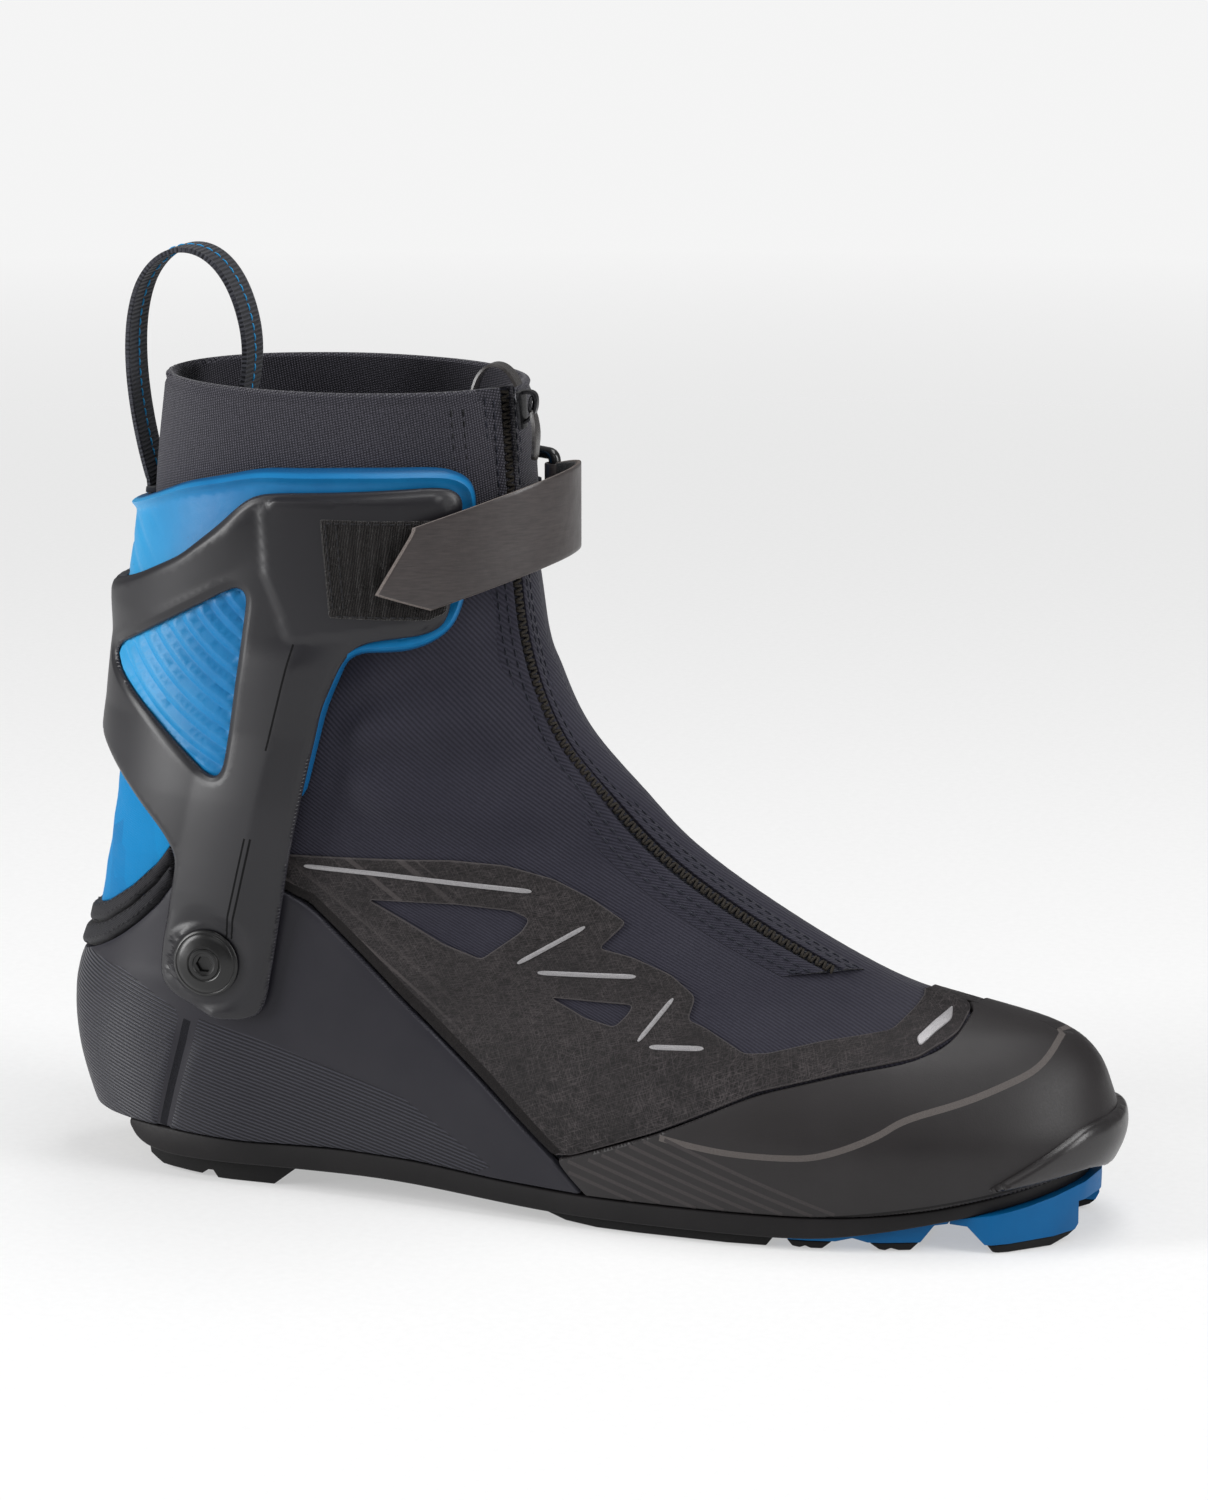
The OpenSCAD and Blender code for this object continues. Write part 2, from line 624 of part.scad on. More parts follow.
module strap() {
  tip = [[103, 172], [112, 188.4], [118, 220], [170, 240], [170, 150], [118, 166.9]];
  color("#3b3433") placed() difference() {
    union() {
      intersection() {
        climbing(band(strap_path, -strap_t / 2, strap_t / 2), -strap_w / 2, strap_w / 2);
        side_cut(tip);
      }
      translate([ring_at[0], ring_at[1], strap_end_z]) cylinder(r = 2.9, h = strap_w, $fn = 36);
    }
    translate([ring_at[0], ring_at[1], 150]) cylinder(r = 1.85, h = 80, $fn = 36);
  }
}

module strap_hook() {
  path = [for (i = [1:4]) strap_path[i]];
  color("#101011") placed() intersection() {
    climbing(band(path, -strap_t / 2 - 0.9, -strap_t / 2 - 0.05), -9, 9);
    side_cut([[105, 173], [114, 192], [140, 200], [140, 160], [118, 168]]);
  }
}

module strap_ring() {
  low = strap_end_z - 1;
  high = strap_end_z + strap_w + 1;
  color("#1e1e20") placed() {
    for (at = [ring_at, ring_back])
      translate([at[0], at[1], low - 2]) cylinder(r = 1.75, h = high - low + 4, $fn = 32);
    for (z = [low - 3, high]) hull() for (at = [ring_at, ring_back])
      translate([at[0], at[1], z]) cylinder(r = 2, h = 3, $fn = 24);
  }
}

// ---- Pull loop --------------------------------------------------------------------------

loop_path = concat(bezier([23.9, 193], [20, 206], [15, 232], [22, 247], 7),
                   [for (i = [1:7]) bezier([22, 247], [29, 261], [46, 261], [51.5, 238], 7)[i]],
                   [for (i = [1:7]) bezier([51.5, 238], [55, 224], [50, 206], [36.8, 193], 7)[i]]);

module pull_loop() {
  color("#1d1e22") placed() translate([0, webbing_w / 2, 0]) rotate([90, 0, 0])
    linear_extrude(webbing_w) polygon(band(loop_path, -webbing_t / 2, webbing_t / 2));
}

module pull_loop_tabs() {
  color("#18191c") placed() {
    panel(0.3, 3.2, 180, 191, [[15, 189.4], [40, 189.4], [40, 190.8], [15, 190.8]], [], -9, 9);
    panel(-5.8, -3.3, 180, 191, [[15, 184], [45, 184], [45, 190.8], [15, 190.8]], [], -9, 9);
  }
}

heel_block();
midsole();
forefoot_tread();
forefoot_plate();
forefoot_lugs();
toe_block();
toe_rubber();
toe_bar();
lasting_board();
insole();
heel_shell();
toe_rand();
toe_bumper();
upper();
overlay_lateral();
overlay_medial();
reflective_trim();
heel_band_lower();
heel_band_upper();
achilles_panel();
ankle_gaiter();
shin_panel();
knit_collar();
bootie_liner();
ankle_lining();
tongue();
lace();
lace_guides();
zip_tape();
zip_teeth();
zip_slider();
zip_puller();
cuff_pad();
cuff_frame();
pivot_rivet_lateral();
pivot_rivet_medial();
pivot_washers();
pivot_nuts();
loop_patch();
strap();
strap_hook();
strap_ring();
ring_tab();
pull_loop();
pull_loop_tabs();
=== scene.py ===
"""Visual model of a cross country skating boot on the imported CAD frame, in metres."""
import math
import bmesh
import bpy
import numpy as np
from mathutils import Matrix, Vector, kdtree
from mathutils.geometry import delaunay_2d_cdt


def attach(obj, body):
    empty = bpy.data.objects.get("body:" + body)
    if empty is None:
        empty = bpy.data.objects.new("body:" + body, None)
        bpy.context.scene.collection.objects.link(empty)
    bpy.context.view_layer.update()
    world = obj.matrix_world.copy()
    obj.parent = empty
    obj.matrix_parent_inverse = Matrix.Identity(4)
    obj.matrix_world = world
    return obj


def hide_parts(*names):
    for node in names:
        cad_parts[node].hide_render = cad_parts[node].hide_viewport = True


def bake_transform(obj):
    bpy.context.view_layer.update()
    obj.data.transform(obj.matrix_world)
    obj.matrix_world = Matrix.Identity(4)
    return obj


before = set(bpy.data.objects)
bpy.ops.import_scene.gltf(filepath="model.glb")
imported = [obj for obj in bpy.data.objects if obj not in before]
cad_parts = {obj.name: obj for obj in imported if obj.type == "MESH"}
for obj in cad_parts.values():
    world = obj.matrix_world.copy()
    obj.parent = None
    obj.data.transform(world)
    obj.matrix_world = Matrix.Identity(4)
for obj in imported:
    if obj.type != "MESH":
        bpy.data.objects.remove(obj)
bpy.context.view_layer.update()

# Shapes are drawn in millimetres from the back of the heel, then moved into the CAD frame.
MIDDLE = np.array([149.7, -1.65, 0.0])
LATERAL, MEDIAL = -1, 1
BOTH = (LATERAL, MEDIAL)


def metres(points):
    return (np.asarray(points, float) - MIDDLE) * 0.001


# ---- Skin of the boot: the surface that every panel follows ------------------------------

# Height, back, widest place of the heel, front, half width there, swell to ball and to toe.
SECTIONS = np.array([
    [0, 9, 60, 286, 31, 60, 68], [12, 5, 60, 290, 33.5, 68, 76],
    [27, 0.4, 60, 297, 35.5, 71, 80], [38, -1.2, 60, 295, 36.5, 67, 72],
    [48, -1, 60, 290.5, 37, 58, 56], [54, 0.2, 61, 282, 37, 52, 43],
    [58, 1.6, 61, 265, 37, 48, 40], [62, 3, 62, 247, 37, 46, 39],
    [68, 5.2, 62, 231, 37, 43, 38], [80, 7.6, 63, 208, 37.2, 38, 34],
    [95, 10.4, 66, 184, 38, 34, 32], [110, 12.6, 69, 166, 38.5, 34, 33],
    [128, 14.8, 72, 148.5, 38, 36, 35.5], [150, 19, 74, 138.5, 37.5, 37.5, 37.5],
    [175, 23.8, 76, 134.3, 37.5, 37.5, 37.5], [200, 26.8, 78, 132.6, 37, 37, 37],
    [226, 29, 80, 131, 36, 36, 36]], float)
LAST = len(SECTIONS) - 1
BEFORE = np.maximum(np.arange(LAST + 1) - 1, 0)
AFTER = np.minimum(np.arange(LAST + 1) + 1, LAST)
SLOPES = (SECTIONS[AFTER] - SECTIONS[BEFORE]) / (SECTIONS[AFTER] - SECTIONS[BEFORE])[:, :1]
SOLE_TOP = np.array([[-10, 13.6], [30, 14], [60, 12.8], [85, 13.6], [110, 12.8], [134, 10.4],
                     [160, 9], [222, 9], [238, 9.8], [255, 11.8], [276, 15.8], [310, 24]])
FRAME_GAP = np.array([[60, 2.2], [68, 2.2], [85, 3], [112, 3.6], [131, 3.6], [145, 4.6],
                      [160, 5.2]])
FRAME_T = 2.4


def section(z):
    z = np.asarray(z, float)
    i = np.clip(np.searchsorted(SECTIONS[:, 0], z, side="right") - 1, 0, LAST - 1)
    p, q = SECTIONS[i], SECTIONS[i + 1]
    h = q[..., :1] - p[..., :1]
    t = (z[..., None] - p[..., :1]) / h
    u = 1 - t
    return (p * u * u * (1 + 2 * t) + SLOPES[i] * h * t * u * u
            + q * t * t * (3 - 2 * t) - SLOPES[i + 1] * h * t * t * u)


def skin_point(z, angle):
    s = section(z)
    c, sine = -np.cos(np.radians(angle)), np.sin(np.radians(angle))
    side = np.where(sine >= 0, LATERAL, MEDIAL)
    low = np.where(side == MEDIAL, np.clip((90 - z) / 50, 0, 1), 0)
    w, ball, toe = s[..., 4], s[..., 5] * (1 - 0.32 * low), s[..., 6] * (1 + 0.08 * low)
    r = 1 - c
    reach = np.where(c < 0, s[..., 2] - s[..., 1], s[..., 3] - s[..., 2])
    swell = np.where(c < 0, w, w * r * r * (r + 3 * c) + 3 * ball * c * c * r + toe * c ** 3)
    return np.stack([s[..., 2] + c * reach, side * abs(sine) * swell, z + 0 * c], -1)


def skin_normal(z, angle):
    along = skin_point(z, angle + 1) - skin_point(z, angle - 1)
    rise = skin_point(z + 0.4, angle) - skin_point(z - 0.4, angle)
    n = np.cross(along, rise)
    return n / np.linalg.norm(n, axis=-1, keepdims=True)


def depth(d, z):
    return d if np.isscalar(d) else np.interp(z, d[:, 0], d[:, 1])


# Flat map of one side of the skin: u is the distance round the boot from the back, v the
# distance up it, stretched where the top of the toe is nearly flat.
ROW_Z = np.linspace(7, 226, 439)
ROW_A = np.linspace(0, 180, 361)
GRID_Z, GRID_A = np.meshgrid(ROW_Z, ROW_A, indexing="ij")
AROUND = np.zeros(GRID_Z.shape)
AROUND[:, 1:] = np.cumsum(np.linalg.norm(np.diff(skin_point(GRID_Z, GRID_A), axis=1), axis=2), 1)
SHARES = np.linspace(0, 1, 361)
SHARE_ANGLE = np.array([np.interp(SHARES, row / row[-1], ROW_A) for row in AROUND])
FRONT_SLOPE = abs(np.gradient(section(ROW_Z)[:, 3], ROW_Z))
STRETCH = np.clip(1 + 0.7 * (FRONT_SLOPE - 0.6), 1, 2.2)
UP = np.concatenate([[0], np.cumsum((STRETCH[1:] + STRETCH[:-1]) / 2 * np.diff(ROW_Z))])


def grid_value(table, z, column):
    """Value of a table at a height and at a column number, both between the samples."""
    i = np.clip((z - ROW_Z[0]) / (ROW_Z[1] - ROW_Z[0]), 0, len(ROW_Z) - 1.001)
    j = np.clip(column, 0, table.shape[1] - 1.001)
    i0, j0 = i.astype(int), j.astype(int)
    f, g = i - i0, j - j0
    return ((table[i0, j0] * (1 - f) + table[i0 + 1, j0] * f) * (1 - g)
            + (table[i0, j0 + 1] * (1 - f) + table[i0 + 1, j0 + 1] * f) * g)


def angle_at(x, z):
    s = section(z)
    c = np.where(x < s[..., 2], (x - s[..., 2]) / (s[..., 2] - s[..., 1]),
                 (x - s[..., 2]) / (s[..., 3] - s[..., 2]))
    return np.degrees(np.arccos(np.clip(-c, -1, 1)))


def angle_at_y(z, y):
    """Angle, on the front of the boot, where the skin is at a given y."""
    angles = np.linspace(95, 265, 341)
    return np.array([np.interp(y, skin_point(np.full(341, h), angles)[:, 1], angles) for h in z])


def to_map(xz):
    x, z = np.asarray(xz, float).T
    a = angle_at(x, z)
    return np.stack([grid_value(AROUND, z, a * 2), np.interp(z, ROW_Z, UP)], -1)


def from_map(uv):
    u, v = uv.T
    z = np.interp(v, UP, ROW_Z)
    total = grid_value(AROUND, z, np.full(len(z), 360.0))
    return grid_value(SHARE_ANGLE, z, np.clip(u / total, 0, 1) * 360), z


# ---- Outlines ----------------------------------------------------------------------------

def rounded(points, radius, closed=True):
    """Outline with its corners rounded, by up to half of the edges beside them."""
    points = np.asarray(points, float)
    n, result = len(points), []
    for i in range(n):
        if not closed and i in (0, n - 1):
            result.append(points[i])
            continue
        p, before, after = points[i], points[i - 1], points[(i + 1) % n]
        a, b = before - p, after - p
        la, lb = np.linalg.norm(a), np.linalg.norm(b)
        start = p + a / la * min(radius, la / 2)
        end = p + b / lb * min(radius, lb / 2)
        for t in np.linspace(0, 1, 6):
            result.append(start * (1 - t) ** 2 + 2 * p * t * (1 - t) + end * t * t)
    return np.array(result)


def divided(points, step, closed=True):
    points = np.asarray(points, float)
    ends = np.roll(points, -1, 0) if closed else points[1:]
    result = []
    for a, b in zip(points, ends):
        n = max(1, int(math.ceil(np.linalg.norm(b - a) / step)))
        result += [a + (b - a) * k / n for k in range(n)]
    if not closed:
        result.append(points[-1])
    return np.array(result)


def even(points, step):
    """Points at equal distances along an open path."""
    points = np.asarray(points, float)
    at = np.concatenate([[0], np.cumsum(np.linalg.norm(np.diff(points, axis=0), axis=1))])
    n = max(2, int(round(at[-1] / step)) + 1)
    where = np.linspace(0, at[-1], n)
    return np.stack([np.interp(where, at, column) for column in points.T], -1)


def bezier(a, b, c, d, steps):
    a, b, c, d = (np.array(p, float) for p in (a, b, c, d))
    t = np.linspace(0, 1, steps + 1)[:, None]
    return a * (1 - t) ** 3 + 3 * b * t * (1 - t) ** 2 + 3 * c * t * t * (1 - t) + d * t ** 3


def mapped(outline, step):
    loop = to_map(divided(outline, step))
    keep = np.linalg.norm(loop - np.roll(loop, 1, 0), axis=1) > 0.05
    return loop[keep]


def inside(points, loops):
    x, y = points.T
    hit = np.zeros(len(points), bool)
    for loop in loops:
        for (x0, y0), (x1, y1) in zip(loop, np.roll(loop, -1, 0)):
            if y0 != y1:
                crosses = (y0 > y) != (y1 > y)
                hit ^= crosses & (x < (x1 - x0) * (y - y0) / (y1 - y0) + x0)
    return hit


def tree_of(points):
    points = np.asarray(points, float)
    tree = kdtree.KDTree(len(points))
    for i, p in enumerate(points):
        tree.insert((*p, 0.0)[:3], i)
    tree.balance()
    return tree


def nearest(tree, points):
    return np.array([tree.find((*p, 0.0)[:3])[2] for p in points])


def triangulated(loops, marks, cell, rims):
    """Triangles that fill the loops, with rows of points along the edges and no edge across a mark."""
    points, edges = [], []
    for loop in loops + marks:
        first, n = len(points), len(loop)
        points += list(loop)
        edges += [(first + i, first + (i + 1) % n) for i in range(n)]
    border = tree_of(np.concatenate([divided(loop, 0.3) for loop in loops]))
    added = []
    for loop in loops:
        ahead = np.roll(loop, -1, 0) - loop
        normal = np.stack([ahead[:, 1], -ahead[:, 0]], -1)
        normal /= np.linalg.norm(normal, axis=1, keepdims=True)
        for rim in rims:
            for way in (-1, 1):
                row = loop + ahead / 2 + normal * rim * way
                row = row[inside(row, loops)]
                if len(row):
                    added.append(row[nearest(border, row) > rim * 0.9])
    low, high = loops[0].min(0), loops[0].max(0)
    us, vs = np.arange(low[0], high[0], cell), np.arange(low[1], high[1], cell * 0.866)
    grid = np.array([(u + (j % 2) * cell / 2, v) for j, v in enumerate(vs) for u in us])
    grid = grid[inside(grid, loops)]
    taken = tree_of(np.array(points + [p for row in added for p in row]))
    added.append(grid[nearest(taken, grid) > cell * 0.6])
    points += [p for row in added for p in row]
    verts, _, faces, *_ = delaunay_2d_cdt([Vector(p) for p in points], edges, [], 0, 1e-5, False)
    verts, faces = np.array([tuple(v) for v in verts]), np.array([f for f in faces if len(f) == 3])
    a, b, c = verts[faces[:, 0]], verts[faces[:, 1]], verts[faces[:, 2]]
    area = (b[:, 0] - a[:, 0]) * (c[:, 1] - a[:, 1]) - (b[:, 1] - a[:, 1]) * (c[:, 0] - a[:, 0])
    faces[area < 0] = faces[area < 0][:, ::-1]
    faces = faces[inside((a + b + c) / 3, loops) & (abs(area) > 1e-7)]
    used, faces = np.unique(faces, return_inverse=True)
    return verts[used], faces.reshape(-1, 3)


# ---- Building meshes ---------------------------------------------------------------------

def build(name, points, faces, looks, look_of=None, cloth=None, rim=None, sharp=40):
    """Object from points in millimetres, with the map position and the distance to the edge."""
    mesh = bpy.data.meshes.new(name)
    mesh.from_pydata(metres(points).tolist(), [], [list(map(int, f)) for f in faces])
    for look in looks:
        mesh.materials.append(look)
    if look_of is not None:
        mesh.polygons.foreach_set("material_index", np.asarray(look_of, np.int32))
    if cloth is not None:
        layer = mesh.attributes.new("cloth", "FLOAT_VECTOR", "POINT")
        layer.data.foreach_set("vector", np.asarray(cloth, np.float32).ravel())
    if rim is not None:
        layer = mesh.attributes.new("rim", "FLOAT", "POINT")
        layer.data.foreach_set("value", np.asarray(rim, np.float32))
    mesh.shade_smooth()
    mesh.set_sharp_from_angle(angle=math.radians(sharp))
    mesh.update()
    piece = bpy.data.objects.new(name, mesh)
    bpy.context.collection.objects.link(piece)
    return piece


def rim_drop(distance, radius):
    if radius <= 0:
        return np.zeros(len(distance))
    t = 1 - np.minimum(distance / radius, 1)
    return radius * (1 - np.sqrt(1 - t * t))


def panel(name, outline, outer, inner, looks, holes=(), zones=(), sides=BOTH, cell=1.7,
          edge=0.5, back_edge=0.0, relief=None, reshape=None, back_look=0, step=1.1, corner=3.0, rows=()):
    """Layer over the skin, cut to a side view outline, with rounded edges and zones of their own look."""
    loops = [mapped(rounded(p, corner) if corner else p, step) for p in (outline, *holes)]
    marks = [mapped(p, step) for p, _ in zones]
    flat, triangles = triangulated(loops, marks, cell, [edge * f for f in (0.3, 0.65, 1.0)] + list(rows))
    angle, z = from_map(flat)
    centres = flat[triangles].mean(1)
    look_of = np.zeros(len(triangles), int)
    for mark, (_, look) in zip(marks, zones):
        look_of[inside(centres, [mark])] = look
    angles = np.concatenate([angle if side == LATERAL else 360 - angle for side in sides])
    heights = np.tile(z, len(sides))
    cloth = np.concatenate([np.column_stack([flat, np.full(len(flat), side)]) for side in sides])
    faces = np.concatenate([(triangles if side == LATERAL else triangles[:, ::-1]) + k * len(flat)
                            for k, side in enumerate(sides)])
    look_of = np.tile(look_of, len(sides))
    base = skin_point(heights, angles)
    _, first, same = np.unique(np.round(base * 200), axis=0, return_index=True, return_inverse=True)
    faces = same.ravel()[faces]
    good = (faces[:, 0] != faces[:, 1]) & (faces[:, 1] != faces[:, 2]) & (faces[:, 0] != faces[:, 2])
    faces, look_of = faces[good], look_of[good]
    base, angles, heights, cloth = base[first], angles[first], heights[first], cloth[first]
    directed = {(f[i], f[(i + 1) % 3]) for f in faces.tolist() for i in range(3)}
    border = [(i, j) for i, j in directed if (j, i) not in directed]
    border.sort()
    line = np.array([base[i] + (base[j] - base[i]) * t for i, j in border for t in (0, .25, .5, .75)])
    rim = nearest(tree_of(line), base)
    normal = skin_normal(heights, angles)
    side = np.where(base[:, 1] < 0, LATERAL, MEDIAL)
    front = depth(outer, heights) - rim_drop(rim, edge)
    if relief is not None:
        front = front + relief(base[:, 0], heights, side, rim)
    back = depth(inner, heights) + rim_drop(rim, back_edge)
    top, under = base + normal * np.reshape(front, (-1, 1)), base + normal * np.reshape(back, (-1, 1))
    if reshape is not None:
        top, under = reshape(top, base, True), reshape(under, base, False)
    n = len(base)
    walls = [(j, i, i + n, j + n) for i, j in border]
    every = faces.tolist() + (faces[:, ::-1] + n).tolist() + walls
    which = np.concatenate([look_of, np.full(len(faces), back_look), np.zeros(len(walls), int)])
    return build(name, np.concatenate([top, under]), every, looks, which,
                 np.concatenate([cloth, cloth]), np.concatenate([rim, rim]))


def sweep(name, centres, across, out, profile, looks, closed=False, along=None, sharp=40):
    """Profile of (across, out) points carried along a path."""
    centres, across, out = (np.asarray(v, float) for v in (centres, across, out))
    n, m = len(centres), len(profile)
    profile = np.asarray(profile, float)
    points = (centres[:, None] + across[:, None] * profile[None, :, :1]
              + out[:, None] * profile[None, :, 1:2]).reshape(-1, 3)
    turns = n if closed else n - 1
    faces = [(i * m + k, i * m + (k + 1) % m, ((i + 1) % n) * m + (k + 1) % m, ((i + 1) % n) * m + k)
             for i in range(turns) for k in range(m)]
    if not closed:
        faces += [tuple(range(m))[::-1], tuple((n - 1) * m + k for k in range(m))]
    if along is None:
        along = np.concatenate([[0], np.cumsum(np.linalg.norm(np.diff(centres, axis=0), axis=1))])
    cloth = np.stack([np.repeat(along, m), np.tile(profile[:, 0], n), np.tile(profile[:, 1], n)], -1)
    half = abs(profile[:, 0]).max()
    piece = build(name, points, faces, looks, None, cloth, np.tile(half - abs(profile[:, 0]), n), sharp)
    turned_out(piece)
    return piece


def turned_out(piece):
    mesh = bmesh.new()
    mesh.from_mesh(piece.data)
    bmesh.ops.recalc_face_normals(mesh, faces=mesh.faces)
    mesh.to_mesh(piece.data)
    mesh.free()


def directions(path, hint, closed=False):
    path = np.asarray(path, float)
    if closed:
        t = np.roll(path, -1, 0) - np.roll(path, 1, 0)
    else:
        t = np.gradient(path, axis=0)
    t /= np.linalg.norm(t, axis=1, keepdims=True)
    across = np.cross(t, np.broadcast_to(hint, t.shape))
    across /= np.linalg.norm(across, axis=1, keepdims=True)
    return across, np.cross(across, t)


def ring_profile(radius, sides=12, flat=1.0):
    angles = np.arange(sides) * 2 * math.pi / sides
    return np.stack([np.cos(angles) * radius, np.sin(angles) * radius * flat], -1)


def band_profile(width, thick, radius=0.45, crown=0.0):
    """Cross section of a strap: rounded edges, and faces that may be crowned."""
    half, t = width / 2, thick / 2
    xs = np.linspace(-half + radius, half - radius, 13)
    bulge = crown * (1 - (xs / half) ** 2)
    corner = [(half - radius + radius * math.cos(a), (t - radius) + radius * math.sin(a))
              for a in np.radians([60, 20])]
    upper = list(zip(xs, t + bulge)) + corner
    lower = [(-x, -y) for x, y in upper]
    return np.array(upper + lower)


def lathe(name, profile, spot, side, looks, radius_at=None, n=72):
    """Profile of (radius, distance from the middle plane) turned about the cuff's axis."""
    angles = np.arange(n) * 2 * math.pi / n
    rings = []
    for k, (r, y) in enumerate(profile):
        radius = np.full(n, r) if radius_at is None else radius_at(k, r, angles)
        rings.append(np.stack([spot[0] + radius * np.cos(angles), np.full(n, side * y),
                               spot[1] + radius * np.sin(angles)], -1))
    m = len(rings)
    faces = [(i * n + k, i * n + (k + 1) % n, (i + 1) * n + (k + 1) % n, (i + 1) * n + k)
             for i in range(m - 1) for k in range(n)]
    faces += [tuple(range(n)), tuple((m - 1) * n + k for k in range(n))]
    piece = build(name, np.concatenate(rings), faces, looks, sharp=32)
    turned_out(piece)
    return piece


def joined(name, pieces):
    """One object from several, which keep their looks."""
    bpy.ops.object.select_all(action="DESELECT")
    for piece in pieces:
        piece.select_set(True)
    bpy.context.view_layer.objects.active = pieces[0]
    bpy.ops.object.join()
    pieces[0].name = name
    return pieces[0]


def bevelled(node, look, width=0.4, segments=2, angle=28):
    """Copy of a hard CAD part with rounded edges, shown in its place."""
    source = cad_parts[node]
    mesh = source.data.copy()
    work = bmesh.new()
    work.from_mesh(mesh)
    bmesh.ops.remove_doubles(work, verts=work.verts, dist=1e-5)
    bmesh.ops.dissolve_limit(work, angle_limit=math.radians(3), verts=work.verts, edges=work.edges)
    work.to_mesh(mesh)
    work.free()
    mesh.materials.clear()
    mesh.materials.append(look)
    piece = bpy.data.objects.new("shaped_" + node, mesh)
    bpy.context.collection.objects.link(piece)
    bevel = piece.modifiers.new("bevel", "BEVEL")
    bevel.width = width * 0.001
    bevel.segments = segments
    bevel.limit_method = "ANGLE"
    bevel.angle_limit = math.radians(angle)
    bevel.harden_normals = False
    applied(piece)
    piece.data.shade_smooth()
    piece.data.set_sharp_from_angle(angle=math.radians(35))
    return piece


def applied(piece):
    """The piece's modifiers become part of its mesh."""
    graph = bpy.context.evaluated_depsgraph_get()
    mesh = bpy.data.meshes.new_from_object(piece.evaluated_get(graph))
    piece.modifiers.clear()
    piece.data = mesh


def placed(piece, body, slot, *nodes):
    if nodes:
        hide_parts(*nodes)
    if body == "bend":
        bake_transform(piece)
    else:
        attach(piece, body)
    return piece


# ---- Stitches ----------------------------------------------------------------------------

def run_along(path):
    """Distance of each point of a path from its start."""
    return np.concatenate([[0], np.cumsum(np.linalg.norm(np.diff(path, axis=0), axis=1))])


def point_at(distance, run, columns):
    """Point, or row of points, at a distance along a path."""
    return np.array([np.interp(distance, run, column) for column in columns.T]).T


def trace(line, side, off, step=1.0):
    """Points and normals on the skin along a side view line."""
    x, z = divided(line, step, closed=False).T
    a = angle_at(x, z)
    a = a if side == LATERAL else 360 - a
    n = skin_normal(z, a)
    return skin_point(z, a) + n * np.reshape(depth(off, z), (-1, 1)), n


def stitches(name, rows, look, length=2.3, space=0.9, radius=0.26):
    """Short raised threads along rows of (points, normals)."""
    points, faces, sides = [], [], 6
    shape = [(0.0, -0.35, 0.35), (0.12, 0.25, 0.85), (0.5, 0.7, 1.0), (0.88, 0.25, 0.85),
             (1.0, -0.35, 0.35)]
    for path, normals in rows:
        at = run_along(path)
        for start in np.arange(0.3, at[-1] - length, length + space):
            ends = [point_at(start + length * t, at, path) for t in (0, 1)]
            n = point_at(start + length / 2, at, normals)
            ahead = ends[1] - ends[0]
            across = np.cross(ahead / np.linalg.norm(ahead), n)
            first = len(points)
            for t, lift, wide in shape:
                centre = ends[0] + ahead * t + n * radius * lift
                for a in np.arange(sides) * 2 * math.pi / sides:
                    points.append(centre + (across * math.cos(a) + n * math.sin(a)) * radius * wide)
            m = len(shape)
            faces += [(first + i * sides + k, first + i * sides + (k + 1) % sides,
                       first + (i + 1) * sides + (k + 1) % sides, first + (i + 1) * sides + k)
                      for i in range(m - 1) for k in range(sides)]
            faces += [tuple(first + k for k in range(sides))[::-1],
                      tuple(first + (m - 1) * sides + k for k in range(sides))]
    piece = build(name, np.array(points), faces, [look], sharp=80)
    turned_out(piece)
    return piece


# ---- Looks -------------------------------------------------------------------------------

def colour(code):
    """Linear colour from a screen colour such as 2b2e3c."""
    parts = [int(code[i:i + 2], 16) / 255 for i in (0, 2, 4)]
    return tuple(p / 12.92 if p <= 0.04045 else ((p + 0.055) / 1.055) ** 2.4 for p in parts) + (1.0,)


